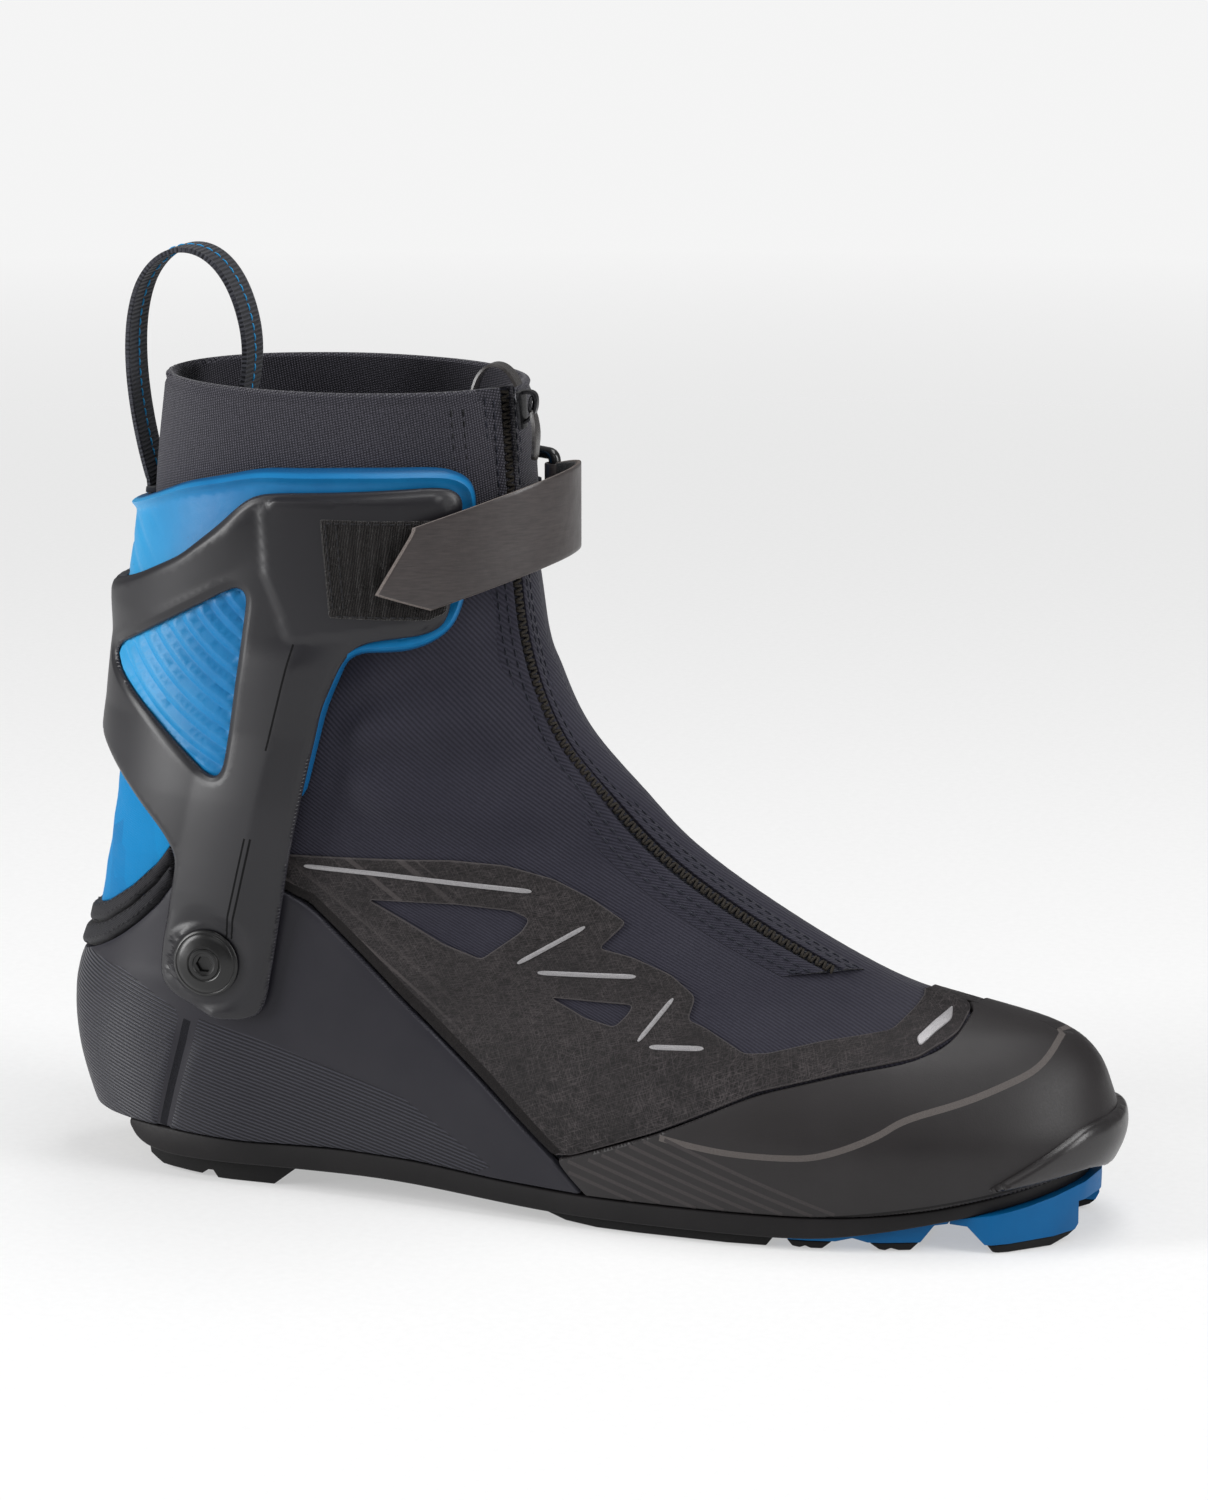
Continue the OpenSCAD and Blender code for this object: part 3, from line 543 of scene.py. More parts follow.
class Look:
    """A material put together from nodes. Distances in its patterns are millimetres."""

    def __init__(self, name):
        self.material = bpy.data.materials.new(name)
        self.material.use_nodes = True
        self.tree = self.material.node_tree
        self.tree.nodes.clear()
        self.surface = self.node("BsdfPrincipled")
        output = self.node("OutputMaterial")
        self.tree.links.new(self.surface.outputs[0], output.inputs[0])
        place = self.node("TexCoord").outputs["Object"]
        self.place = self.vector("MULTIPLY", place, (1000, 1000, 1000))
        self.cloth = self.node("Attribute", attribute_name="cloth").outputs["Vector"]
        self.rim = self.node("Attribute", attribute_name="rim").outputs["Fac"]
        split = self.node("SeparateXYZ", {0: self.cloth})
        self.u, self.v = split.outputs[0], split.outputs[1]
        split = self.node("SeparateXYZ", {0: self.place})
        self.x, self.y, self.z = split.outputs

    def node(self, kind, inputs=None, **settings):
        node = self.tree.nodes.new("ShaderNode" + kind)
        for key, value in settings.items():
            setattr(node, key, value)
        for key, value in (inputs or {}).items():
            self.feed(node.inputs[key], value)
        return node

    def feed(self, socket, value):
        if isinstance(value, bpy.types.NodeSocket):
            self.tree.links.new(value, socket)
        else:
            socket.default_value = value

    def vector(self, operation, a, b):
        return self.node("VectorMath", {0: a, 1: b}, operation=operation).outputs[0]

    def math(self, operation, a, b=0.0, clamp=False):
        return self.node("Math", {0: a, 1: b}, operation=operation, use_clamp=clamp).outputs[0]

    def span(self, value, low, high, to_low=0.0, to_high=1.0):
        return self.node("MapRange", {"Value": value, "From Min": low, "From Max": high,
                                      "To Min": to_low, "To Max": to_high}).outputs["Result"]

    def noise(self, scale, detail=3.0, rough=0.55, where=None, stretch=None):
        where = self.place if where is None else where
        if stretch is not None:
            where = self.vector("MULTIPLY", where, stretch)
        return self.node("TexNoise", {"Vector": where, "Scale": scale, "Detail": detail,
                                      "Roughness": rough}).outputs[0]

    def mix(self, share, a, b):
        a, b = (colour(c) if isinstance(c, str) else c for c in (a, b))
        node = self.node("Mix", {0: share, 6: a, 7: b}, data_type="RGBA")
        return node.outputs[2]

    def bump(self, height, size, strength=1.0, under=None):
        inputs = {"Height": height, "Distance": size * 0.001, "Strength": strength}
        if under is not None:
            inputs["Normal"] = under
        return self.node("Bump", inputs).outputs[0]

    def done(self, base, rough, normal=None, metal=0.0, specular=0.5, sheen=0.0, coat=0.0):
        self.feed(self.surface.inputs["Base Color"], colour(base) if isinstance(base, str) else base)
        self.feed(self.surface.inputs["Roughness"], rough)
        self.surface.inputs["Metallic"].default_value = metal
        self.surface.inputs["Specular IOR Level"].default_value = specular * 0.6
        self.surface.inputs["Sheen Weight"].default_value = sheen
        self.surface.inputs["Sheen Roughness"].default_value = 0.45
        self.surface.inputs["Coat Weight"].default_value = coat
        self.surface.inputs["Coat Roughness"].default_value = 0.25
        if normal is not None:
            self.feed(self.surface.inputs["Normal"], normal)
        return self.material


def half(look, run):
    """Sine wave moved to between 0 and 1."""
    return look.math("ADD", look.math("MULTIPLY", look.math("SINE", run), 0.5), 0.5)


def waves(look, cu, cv, wobble=0.0, scale=0.08):
    run = look.math("ADD", look.math("MULTIPLY", look.u, cu * 2 * math.pi),
                    look.math("MULTIPLY", look.v, cv * 2 * math.pi))
    if wobble:
        run = look.math("ADD", run, look.math("MULTIPLY", look.noise(scale), wobble))
    return half(look, run)


def softshell_look(name, dark, light, twill=0.55):
    look = Look(name)
    diagonal = waves(look, 0.62 * twill / 0.55, 0.72 * twill / 0.55, 1.2)
    cross = waves(look, 1.9, -1.5)
    cloudy = look.noise(0.05, 4)
    shade = look.math("ADD", look.math("MULTIPLY", diagonal, 0.55),
                      look.math("MULTIPLY", look.noise(1.6, 2), 0.5))
    base = look.mix(look.span(shade, 0.2, 0.95), dark, light)
    base = look.mix(look.span(cloudy, 0.35, 0.75, 0, 0.3), base, colour(dark))
    weave = look.bump(cross, 0.05, 0.5)
    normal = look.bump(diagonal, 0.16, 0.75, weave)
    normal = look.bump(look.noise(0.11, 3), 0.7, 0.35, normal)
    return look.done(base, look.span(cloudy, 0.3, 0.7, 0.62, 0.78), normal, specular=0.3, sheen=0.12)


def knit_look(name, dark, light, pitch=0.8):
    look = Look(name)
    wales = waves(look, 1 / pitch, 0.25 / pitch, 2.0, 0.7)
    courses = waves(look, -0.3 / pitch, 1.15 / pitch, 2.0, 0.7)
    loops = look.math("MULTIPLY", wales, courses)
    speckle = look.noise(2.6, 2, 0.7)
    share = look.math("ADD", look.math("MULTIPLY", loops, 0.7), look.math("MULTIPLY", speckle, 0.6))
    base = look.mix(look.span(share, 0.25, 0.85), dark, light)
    normal = look.bump(loops, 0.3, 0.8, look.bump(speckle, 0.15, 0.4))
    return look.done(base, 0.88, normal, specular=0.2, sheen=0.2)


def lining_look():
    look = Look("lining_mesh")
    dots = look.math("MULTIPLY", waves(look, 0.55, 0.3), waves(look, -0.3, 0.55))
    fuzz = look.noise(3.0, 3, 0.7)
    base = look.mix(look.span(look.math("ADD", dots, fuzz), 0.5, 1.3), "1c1d20", "3b3d43")
    normal = look.bump(dots, 0.4, 0.7, look.bump(fuzz, 0.2, 0.4))
    return look.done(base, 0.92, normal, specular=0.15, sheen=0.25)


def shell_look(ribbed=False):
    look = Look("heel_moulding_ribbed" if ribbed else "heel_moulding")
    grain = look.noise(2.2, 3, 0.6)
    cloudy = look.noise(0.03, 3)
    # Paler along the rounded edge: partly wear, partly a painted edge highlight.
    wear_and_edge_highlight = look.span(look.rim, 0.0, 0.9, 1.0, 0.0)
    base = look.mix(look.span(cloudy, 0.3, 0.7), "1e1d24", "26252b")
    base = look.mix(look.math("MULTIPLY", wear_and_edge_highlight, 0.5), base, colour("4b4b53"))
    normal = look.bump(grain, 0.05, 0.35)
    if ribbed:
        run = look.math("ADD", look.math("MULTIPLY", look.z, 5.7), look.math("MULTIPLY", look.x, 1.6))
        ribs = half(look, run)
        # Rib crests painted lighter as a painted highlight, and rib grooves painted darker as painted shade.
        base = look.mix(look.span(ribs, 0.35, 0.95), base, colour("3a3a42"))
        base = look.mix(look.span(ribs, 0.3, 0.0), base, colour("121216"))
        normal = look.bump(ribs, 0.3, 0.9, normal)
    return look.done(base, look.span(grain, 0.2, 0.8, 0.36, 0.5), normal, specular=0.45)


def rubber_look(name, dark, light, rough=(0.5, 0.64), grain_size=1.8, marks=0.0, specular=0.35):
    look = Look(name)
    grain = look.noise(grain_size, 4, 0.65)
    cloudy = look.noise(0.035, 4)
    base = look.mix(look.span(cloudy, 0.3, 0.72), dark, light)
    scuffs = look.noise(0.35, 5, 0.7, stretch=(1, 1, 3))
    base = look.mix(look.span(scuffs, 0.62, 0.8, 0, 0.25 + marks), base, colour(light))
    normal = look.bump(grain, 0.07, 0.4, look.bump(cloudy, 0.5, 0.12))
    return look.done(base, look.span(grain, 0.25, 0.75, *rough), normal, specular=specular)


def film_look():
    """Thin film with a linen print that shows wear, pale along its cut edge. The bend along its lower edge
    gets painted shade from a look of its own.
    """
    look = Look("overlay_linen")
    lines = None
    for turn, stretch, weight in ((0.35, 14.0, 1.0), (-1.2, 16.0, 0.9), (1.25, 12.0, 0.8), (-0.3, 14.0, 0.7)):
        c, s = math.cos(turn), math.sin(turn)
        run = look.math("ADD", look.math("MULTIPLY", look.u, c), look.math("MULTIPLY", look.v, s))
        over = look.math("SUBTRACT", look.math("MULTIPLY", look.v, c), look.math("MULTIPLY", look.u, s))
        where = look.node("CombineXYZ", {0: look.math("MULTIPLY", run, 1 / stretch), 1: over}).outputs[0]
        thread = look.span(look.noise(2.9, 2, 0.6, where), 0.5, 0.68, 0, weight)
        lines = thread if lines is None else look.math("ADD", lines, thread)
    cloudy = look.noise(0.07, 4)
    weight = look.math("MULTIPLY", lines, look.span(cloudy, 0.25, 0.7, 0.25, 0.75), clamp=True)
    base = look.mix(weight, "141213", "423d3e")
    sweep_run = look.math("ADD", look.math("MULTIPLY", look.x, 0.62), look.math("MULTIPLY", look.z, 0.8))
    streak_at = look.node("CombineXYZ", {0: look.math("MULTIPLY", sweep_run, 0.45), 1: 0.0}).outputs[0]
    streaks = look.span(look.noise(1.0, 1, 0.4, streak_at), 0.56, 0.62, 0, 0.6)
    near = look.span(look.x, -20, -45)
    base = look.mix(look.math("MULTIPLY", streaks, near), base, colour("4a4545"))
    cut = look.span(look.rim, 0.45, 0.15, 0, 0.55)
    base = look.mix(cut, base, colour("575354"))
    normal = look.bump(lines, 0.08, 0.6, look.bump(cloudy, 0.3, 0.2))
    return look.done(base, look.span(lines, 0, 1.2, 0.5, 0.66), normal, specular=0.35)


def grained_look(name, dark, light, grain, span=(0.3, 0.7), rough=0.6, bump=(0.1, 0.6), **settings):
    """One noise drives the colour, the relief and, when it is a pair, the roughness."""
    look = Look(name)
    noise = look.noise(*grain[:3], stretch=grain[3] if len(grain) > 3 else None)
    base = look.mix(look.span(noise, *span), dark, light)
    if isinstance(rough, tuple):
        rough = look.span(noise, *rough)
    return look.done(base, rough, look.bump(noise, *bump), **settings)


def line_look(name, dark, light):
    return grained_look(name, dark, light, (4.5, 2, 0.75), bump=(0.06, 0.6), specular=0.4)


def foam_look():
    """Moulded foam with a skin: bright, a little blotchy, with specks; painted light makes its rear paler and
    painted shade darkens the dip along its edge.
    """
    look = Look("moulded_foam")
    cloudy = look.noise(0.045, 4, 0.6)
    # Painted light: the rear of the pad is painted paler, where the light falls on it.
    rear = look.span(look.x, -95, -135)
    base = look.mix(look.span(cloudy, 0.3, 0.7), "0a6399", "1375ac")
    base = look.mix(look.math("MULTIPLY", rear, 0.7), base, colour("3aa3d6"))
    specks = look.span(look.noise(0.75, 2, 0.5), 0.75, 0.8)
    base = look.mix(look.math("MULTIPLY", specks, 0.8), base, colour("0a3d61"))
    # Painted shade: darker in the dip along the pad's edge.
    edge = look.span(look.rim, 1.1, 0.5)
    base = look.mix(edge, base, colour("0b4f7d"))
    grain = look.noise(2.6, 3, 0.6)
    normal = look.bump(grain, 0.06, 0.4, look.bump(look.noise(0.3, 3), 0.3, 0.3))
    return look.done(base, look.span(grain, 0.3, 0.7, 0.34, 0.5), normal, specular=0.45)


def cyan_look():
    look = Look("softshell_cyan")
    cells = look.node("TexVoronoi", {"Vector": look.place, "Scale": 0.085, "Randomness": 0.85})
    tone = look.node("SeparateColor", {0: cells.outputs["Color"]}).outputs[0]
    weave = look.math("MULTIPLY", waves(look, 1.3, 0.9), waves(look, -0.9, 1.3))
    base = look.mix(look.span(tone, 0, 1), "00689f", "0079b2")
    base = look.mix(look.span(weave, 0, 1, 0, 0.3), base, colour("0a8dc7"))
    return look.done(base, 0.62, look.bump(weave, 0.12, 0.5), specular=0.2, sheen=0.03)


def plastic_look(name, dark, light, rough=(0.34, 0.46), edge_tone="5b5b60", coat=0.0):
    look = Look(name)
    grain = look.noise(3.0, 3, 0.6)
    cloudy = look.noise(0.025, 3)
    base = look.mix(look.span(cloudy, 0.3, 0.7), dark, light)
    # Paler along the rounded edge: partly wear, partly a painted edge highlight.
    base = look.mix(look.span(look.rim, 0.8, 0.1, 0, 0.35), base, colour(edge_tone))
    fine = look.noise(0.9, 5, 0.7, stretch=(1, 1, 0.25))
    base = look.mix(look.span(fine, 0.66, 0.8, 0, 0.2), base, colour(edge_tone))
    normal = look.bump(grain, 0.045, 0.35)
    return look.done(base, look.span(grain, 0.25, 0.75, *rough), normal, specular=0.8, coat=coat)


def gloss_look(name, dark, light, metal=0.0, rough=(0.12, 0.24)):
    return grained_look(name, dark, light, (1.4, 5, 0.7, (1, 3, 1)), (0.35, 0.7), (0.3, 0.75, *rough),
                        (0.02, 0.3), metal=metal, specular=0.6, coat=0.0 if metal else 0.3)


def webbing_look(name, dark, light, pitch=1.25):
    """Ribs across the tape and a heavier woven edge; u runs along the tape and v across it."""
    look = Look(name)
    ribs = waves(look, 1 / pitch, 0.0)
    yarn = waves(look, 0.5 / pitch, 1.1)
    share = look.math("ADD", look.math("MULTIPLY", ribs, 0.6), look.math("MULTIPLY", yarn, 0.3))
    fuzz = look.noise(4, 2, 0.7)
    share = look.math("ADD", share, look.math("MULTIPLY", fuzz, 0.3))
    base = look.mix(look.span(share, 0.25, 1.0), dark, light)
    edge = look.span(look.rim, 1.5, 1.1)
    picks = waves(look, 0.9, 0.4)
    base = look.mix(look.math("MULTIPLY", edge, look.span(picks, 0.5, 1)), base, colour(light))
    normal = look.bump(ribs, 0.35, 0.8, look.bump(yarn, 0.12, 0.5))
    return look.done(base, 0.78, normal, specular=0.3, sheen=0.15)


def loops_look(name, dark, light):
    look = Look(name)
    curls = look.noise(4.2, 4, 0.8)
    rows = waves(look, 1.6, 0.0, 2.5, 0.8)
    share = look.math("ADD", look.math("MULTIPLY", curls, 0.7), look.math("MULTIPLY", rows, 0.25))
    base = look.mix(look.span(share, 0.42, 0.75), dark, light)
    normal = look.bump(curls, 0.45, 0.9, look.bump(rows, 0.2, 0.5))
    return look.done(base, 0.95, normal, specular=0.15, sheen=0.3)


def strap_look(name="strap_pu", inner=False):
    look = Look(name)
    grain = look.noise(1.3, 5, 0.6)
    brushed = look.noise(0.9, 4, 0.6, stretch=(0.25, 0.25, 2.2))
    cloudy = look.noise(0.06, 3)
    if inner:
        base = look.mix(look.span(look.noise(2.4, 4, 0.8), 0.35, 0.7), "151415", "2f2d2d")
        return look.done(base, 0.95, look.bump(grain, 0.5, 0.8), specular=0.15, sheen=0.3)
    base = look.mix(look.span(brushed, 0.3, 0.7), "342f2f", "443e3d")
    base = look.mix(look.span(cloudy, 0.4, 0.75, 0, 0.4), base, colour("2b2727"))
    normal = look.bump(grain, 0.08, 0.35, look.bump(look.noise(0.12, 2), 1.2, 0.25))
    return look.done(base, look.span(cloudy, 0.3, 0.7, 0.3, 0.42), normal, specular=0.8)


def edge_look(name, dark, light):
    return grained_look(name, dark, light, (3.4, 4, 0.8), (0.35, 0.7), 0.85, (0.3, 0.8), specular=0.25)


def thread_look(name, dark, light):
    return grained_look(name, dark, light, (3.0, 3, 0.7), specular=0.35, sheen=0.1)


NAVY = softshell_look("softshell_navy", "1e1d27", "33323e")
CYAN = cyan_look()
KNIT = knit_look("knit_charcoal", "1f1f24", "54525b")
LINING = lining_look()
SHELL = shell_look()
# Darker look for the slot in the heel shell: painted shade inside it.
SHELL_SLOT_SHADE = edge_look("heel_slot_shade", "17171b", "212126")
SHELL_RIBBED = shell_look(True)
RAND = rubber_look("rand_rubber", "1b1819", "242122", (0.42, 0.54), 2.0, specular=0.6)
RAND_STRIPE = line_look("rand_stripe", "343031", "403c3c")
RAND_LINE = line_look("rand_line", "4a4543", "5c5755")
# Near black look for the unmodelled groove low on the rand: painted shade.
RAND_GROOVE_SHADE = line_look("rand_groove_shade", "0c0b0b", "161415")
BUMPER = rubber_look("bumper_rubber", "1e1c1d", "2a2728", (0.26, 0.36), 1.4, specular=0.9)
SOLE = rubber_look("sole_black", "121112", "1c1a1b", (0.46, 0.62), 1.2, 0.1)
TREAD = rubber_look("rubber_black", "0f0f10", "181717", (0.6, 0.75), 1.4, 0.15)
BLUE = rubber_look("sole_blue", "005083", "005f97", (0.36, 0.5), 1.6, specular=0.3)
FILM = film_look()
# Darker look for the bend of the overlay film: painted shade.
FILM_FOLD_SHADE = edge_look("overlay_fold_shade", "100f10", "2a2727")
SILVER = grained_look("reflective_silver", "7c7a7c", "a9a7a9", (5.0, 2, 0.7),
                      rough=(0.3, 0.7, 0.32, 0.5), bump=(0.05, 0.5), metal=0.35, specular=0.6)
BAND = softshell_look("band_black", "121216", "232228", 0.8)
FOAM = foam_look()
FRAME = plastic_look("frame_charcoal", "111015", "18171c", (0.34, 0.44), "3c3b42")
# Near black look for the slits in the frame: painted shade.
SLIT_SHADE = edge_look("frame_slit_shade", "0a0a0b", "131314")
RIVET = gloss_look("rivet_black", "060606", "0d0d0e", rough=(0.3, 0.42))
WEBBING = webbing_look("webbing_black", "15161a", "3a3b42")
LOOPS = loops_look("loop_tape", "0a0909", "35302f")
HOOKS = loops_look("hook_tape", "0b0b0c", "2b2b2d")
STRAP = strap_look()
STRAP_BACK = strap_look("strap_back", True)
STRAP_CUT = edge_look("strap_cut_edge", "57504d", "8c8480")
RING = gloss_look("ring_plastic", "161617", "232324", rough=(0.14, 0.26))
ZIP_METAL = gloss_look("zip_metal", "1d1d1f", "38383b", metal=0.7, rough=(0.22, 0.36))
PULLER = gloss_look("puller_rubber", "2a2828", "3d3a39", rough=(0.2, 0.34))
COIL = edge_look("zip_coil", "1a1816", "45403a")
TAPE = webbing_look("zip_tape", "15161c", "2c2d38", 0.9)
THREAD = thread_look("thread_navy", "15161d", "2a2c38")
THREAD_GREY = thread_look("thread_grey", "34353c", "5a5b63")
THREAD_BLACK = thread_look("thread_black", "0e0e10", "232327")
THREAD_BLUE = thread_look("thread_blue", "1577ad", "2c9bd6")
STEEL = grained_look("steel", "8f9296", "b7babd", (0.9, 5, 0.7, (1, 0.12, 1)),
                     rough=(0.3, 0.7, 0.24, 0.4), bump=(0.03, 0.3), metal=1.0)
NYLON = plastic_look("washer_nylon", "c9c8c2", "dcdbd5", (0.4, 0.5), "e6e5df")
BOARD = edge_look("board", "8d8577", "a69d8d")
INSOLE = knit_look("insole_foam", "3c4147", "62676e", 1.1)
CORD = thread_look("cord_grey", "6c6f73", "9a9da1")


# ---- Sole --------------------------------------------------------------------------------

def wrapped_faces(m, n):
    """Faces of a solid made of m lines of n points, closed round the lines and at both ends."""
    faces = [(k * n + i, k * n + i + 1, ((k + 1) % m) * n + i + 1, ((k + 1) % m) * n + i)
             for k in range(m) for i in range(n - 1)]
    return faces + [tuple(k * n for k in range(m)), tuple(k * n + n - 1 for k in range(m))[::-1]]


def plan_point(z, inset, angles):
    p = skin_point(np.full(len(angles), float(z)), angles)
    t = (skin_point(np.full(len(angles), float(z)), angles + 1)
         - skin_point(np.full(len(angles), float(z)), angles - 1))
    t /= np.linalg.norm(t[:, :2], axis=1, keepdims=True)
    return np.column_stack([p[:, 0] - inset * t[:, 1], p[:, 1] + inset * t[:, 0]])


def slab(name, z_plan, inset, top, bottom, look, radius=0.8, x_range=(-20, 320)):
    """Part of the sole: a plan outline between two side view lines, with rounded edges."""
    angles = np.concatenate([np.linspace(0, 120, 90), np.linspace(120, 180, 110)[1:]])
    rows = [(0.0, radius, -1), (0.3, 0.3 * radius, -1), (1.0, 0, -1), (1.0, 0, 1),
            (0.3, 0.3 * radius, 1), (0.0, radius, 1)]
    lines = []
    for side in (0, 1):
        at = angles if side == 0 else 360 - angles
        for share, inward, way in rows:
            p = plan_point(z_plan, inset + inward, at)
            p[:, 0] = np.clip(p[:, 0], *x_range)
            z = np.interp(p[:, 0], *(bottom if way < 0 else top).T)
            lines.append(np.column_stack([p, z - way * radius * share * 0.8]))
    lateral, medial = lines[:6], lines[6:]
    fill = [lateral[5] + (medial[5] - lateral[5]) * t for t in np.linspace(0, 1, 9)[1:-1]]
    under = [medial[0] + (lateral[0] - medial[0]) * t for t in np.linspace(0, 1, 9)[1:-1]]
    loops = lateral + fill + medial[::-1] + under
    piece = build(name, np.concatenate(loops), wrapped_faces(len(loops), len(angles)), [look],
                  sharp=50)
    work = bmesh.new()
    work.from_mesh(piece.data)
    bmesh.ops.remove_doubles(work, verts=work.verts, dist=2e-6)
    bmesh.ops.dissolve_degenerate(work, edges=work.edges, dist=2e-6)
    bmesh.ops.recalc_face_normals(work, faces=work.faces)
    work.to_mesh(piece.data)
    work.free()
    return piece


def make_sole():
    under = np.array([[20, 13.7], [25.6, 6], [75, 6.2], [103, 6.4], [150, 3], [222, 3], [236, 4.6],
                      [257, 8.2], [279, 12.2], [310, 20.5]], float)
    smooth = even(rounded(under, 14, closed=False), 2.0)
    over = even(rounded(SOLE_TOP, 8, closed=False), 2.0)
    placed(slab("midsole_shape", 14, 0.6, over, smooth, SOLE, 0.9, (21.5, 320)), "boot",
           "sole_black", "midsole")
    for node, look, width, slot in (
            ("heel_block", TREAD, 1.0, "rubber_black"), ("forefoot_tread", TREAD, 0.4, "rubber_black"),
            ("forefoot_plate", BLUE, 0.4, "sole_blue"), ("forefoot_lugs", TREAD, 0.3, "rubber_black"),
            ("toe_block", BLUE, 0.7, "sole_blue"), ("toe_rubber", TREAD, 0.4, "rubber_black")):
        placed(bevelled(node, look, width, 3), "boot", slot, node)
    placed(bevelled("toe_bar", STEEL, 0.35, 3), "boot", "steel", "toe_bar")
    placed(bevelled("lasting_board", BOARD, 0.3, 2), "boot", "board", "lasting_board")


# ---- Shells and fabrics of the boot --------------------------------------------------------

def along_sole(x0, x1, lift):
    """Points just above the top of the sole, from one place to another."""
    xs = np.linspace(x0, x1, max(2, int(abs(x1 - x0) / 5)))
    return [[x, np.interp(x, *SOLE_TOP.T) + lift] for x in xs]


def strip(points, width):
    """Outline of a thin line that follows the given points."""
    points = np.asarray(points, float)
    t = np.gradient(points, axis=0)
    t /= np.linalg.norm(t, axis=1, keepdims=True)
    n = np.stack([-t[:, 1], t[:, 0]], -1) * width / 2
    return np.concatenate([points + n, (points - n)[::-1]])


def circle(centre, radius, steps):
    """Corners of a regular outline round a centre."""
    return [[centre[0] + radius * math.cos(t), centre[1] + radius * math.sin(t)]
            for t in np.arange(steps) * 2 * math.pi / steps]


def smooth_step(value, low, high):
    t = np.clip((value - low) / (high - low), 0, 1)
    return t * t * (3 - 2 * t)


PIVOT = np.array([52.0, 66.0])
HEEL_TOP = [[-14, 56], [1, 57.4], [15.8, 64.2], [25.8, 71.2], [34.5, 79], [40, 86.4], [46, 91],
            [62, 91], [79, 84], [107, 58], [131, 38], [151, 19], [159.6, 9.4]]
RAND_TOP = [[160.4, 9.3], [151.6, 19.2], [156, 20], [181, 29.5], [208, 42], [231, 47.6],
            [249, 50.6], [258.5, 55.5], [259.5, 75], [312, 75], [312, 24]]


def make_heel_shell():
    outline = HEEL_TOP + along_sole(157, -14, 0.2)
    rear = [[-14, 60.5], [9.7, 60], [22.9, 58.4], [40.2, 50.3], [41, 47.5], [31.5, 14.6],
            [27, 14.3], [-14, 13.9]]
    front = [[47.6, 48.6], [63, 44.6], [107.5, 31.4], [133, 14.5], [128, 12.2], [110, 13.3],
             [85, 14], [60, 13.3], [36.6, 14.4]]

    def groove(x, z, side, rim):
        middle = 33.5 + (z - 14) * 0.335
        width = 2.4 + (z - 14) * 0.012
        inside_band = smooth_step(width - abs(x - middle), -0.5, 0.5) * smooth_step(z, 46, 40)
        sunk = smooth_step(rim, 0.2, 3.0)
        return -0.6 * inside_band - 0.1 + 0.1 * sunk

    # The slot is sunk only 0.6 mm and painted darker: painted shade inside it.
    slot = strip(np.column_stack([np.linspace(33.6, 43.9, 16), np.linspace(14.6, 47.5, 16)]), 2.3)
    holes = [circle(PIVOT, 5.35, 24)]
    piece = panel("heel_shell_shape", outline, 0.4, -2.2, [SHELL, SHELL_RIBBED, SHELL_SLOT_SHADE],
                  holes=holes, zones=[(rear, 1), (front, 1), (slot, 2)], cell=1.9, edge=0.9,
                  relief=groove, corner=7)
    placed(piece, "boot", "heel_moulding", "heel_shell")


STRIPES, STRIPE_PITCH = 9, 3.2


def make_toe():
    outline = RAND_TOP + along_sole(312, 161, 0.2)
    line = [[182.6, 29.0], [192, 27.5], [202.8, 26.4], [216.6, 26.4], [226.7, 27.2], [241.5, 33],
            [247.5, 37.4], [262, 41], [271.9, 44.6], [278.5, 47.3], [281.5, 50.8], [282.6, 54.3]]
    zones = [(strip(even(rounded(line, 9, closed=False), 1.5), 1.7), 2)]
    # Thin dark line of painted shade where the rand has a groove near the sole.
    groove_shade_line = [[228, 9.8], [240, 11.2], [255, 13.4], [270, 16.2], [284, 19.6], [292, 22.5]]
    zones.append((strip(even(rounded(groove_shade_line, 6, closed=False), 2.0), 0.7), 3))
    top = np.array(RAND_TOP[1:8])
    for k in range(STRIPES):
        path = [[x, 38.4 - STRIPE_PITCH * k - 0.33 * (x - 156) - 0.0006 * (x - 156) ** 2]
                for x in np.arange(154, 262, 2.0)]
        path = [p for p in path if np.interp(p[0], *SOLE_TOP.T) + 0.7 < p[1] < np.interp(p[0], *top.T) - 0.7
                and p[0] > 152.4 + (19.2 - p[1]) * 0.88]
        if len(path) > 3:
            zones.append((strip(path, 1.05), 1))
    piece = panel("toe_rand_shape", outline, 0.4, -2.2, [RAND, RAND_STRIPE, RAND_LINE, RAND_GROOVE_SHADE],
                  zones=zones, cell=2.0, edge=0.7, corner=7)
    placed(piece, "boot", "rand_rubber", "toe_rand")
    bumper = [[268, 17.2], [276, 18.2], [292, 21], [294, 17.6], [308, 18], [308, 33.3], [292, 33.3],
              [287, 29.5], [278, 23.5]]

    def bead(x, z, side, rim):
        return -0.7 + 0.7 * smooth_step(rim, 0, 2.2)

    piece = panel("toe_bumper_shape", bumper, 2.7, 0.5, [BUMPER], cell=1.3, edge=1.6, relief=bead)
    placed(piece, "boot", "bumper_rubber", "toe_bumper")


UPPER_LOW = [[46, 91.4], [62, 91.4], [79.3, 84.4], [107.4, 58.3], [131.3, 38.3], [151.3, 19.8],
             [156, 20.5], [181, 30], [208, 42.5], [231, 48.1], [248.5, 51], [258, 56], [259, 75]]


def wrinkles(x, z, side, rim):
    """Soft folds of the fabric under the cuff, and where the ankle bends."""
    under_cuff = smooth_step(z, 99, 112) * smooth_step(z, 176, 158) * smooth_step(x, 88, 98)
    fan = np.arctan2(z - 128, x - 62)
    folds = np.sin(fan * 14) * smooth_step(x, 150, 116)
    slant = np.sin((x * 0.7 - z * 0.5) / 6.5 + 1.0)
    free = 0.4 + 0.75 * smooth_step(z, 152, 144)
    return under_cuff * (free * (1 + folds) + 0.2 * slant) * np.where(side > 0, 0.8, 1.0)


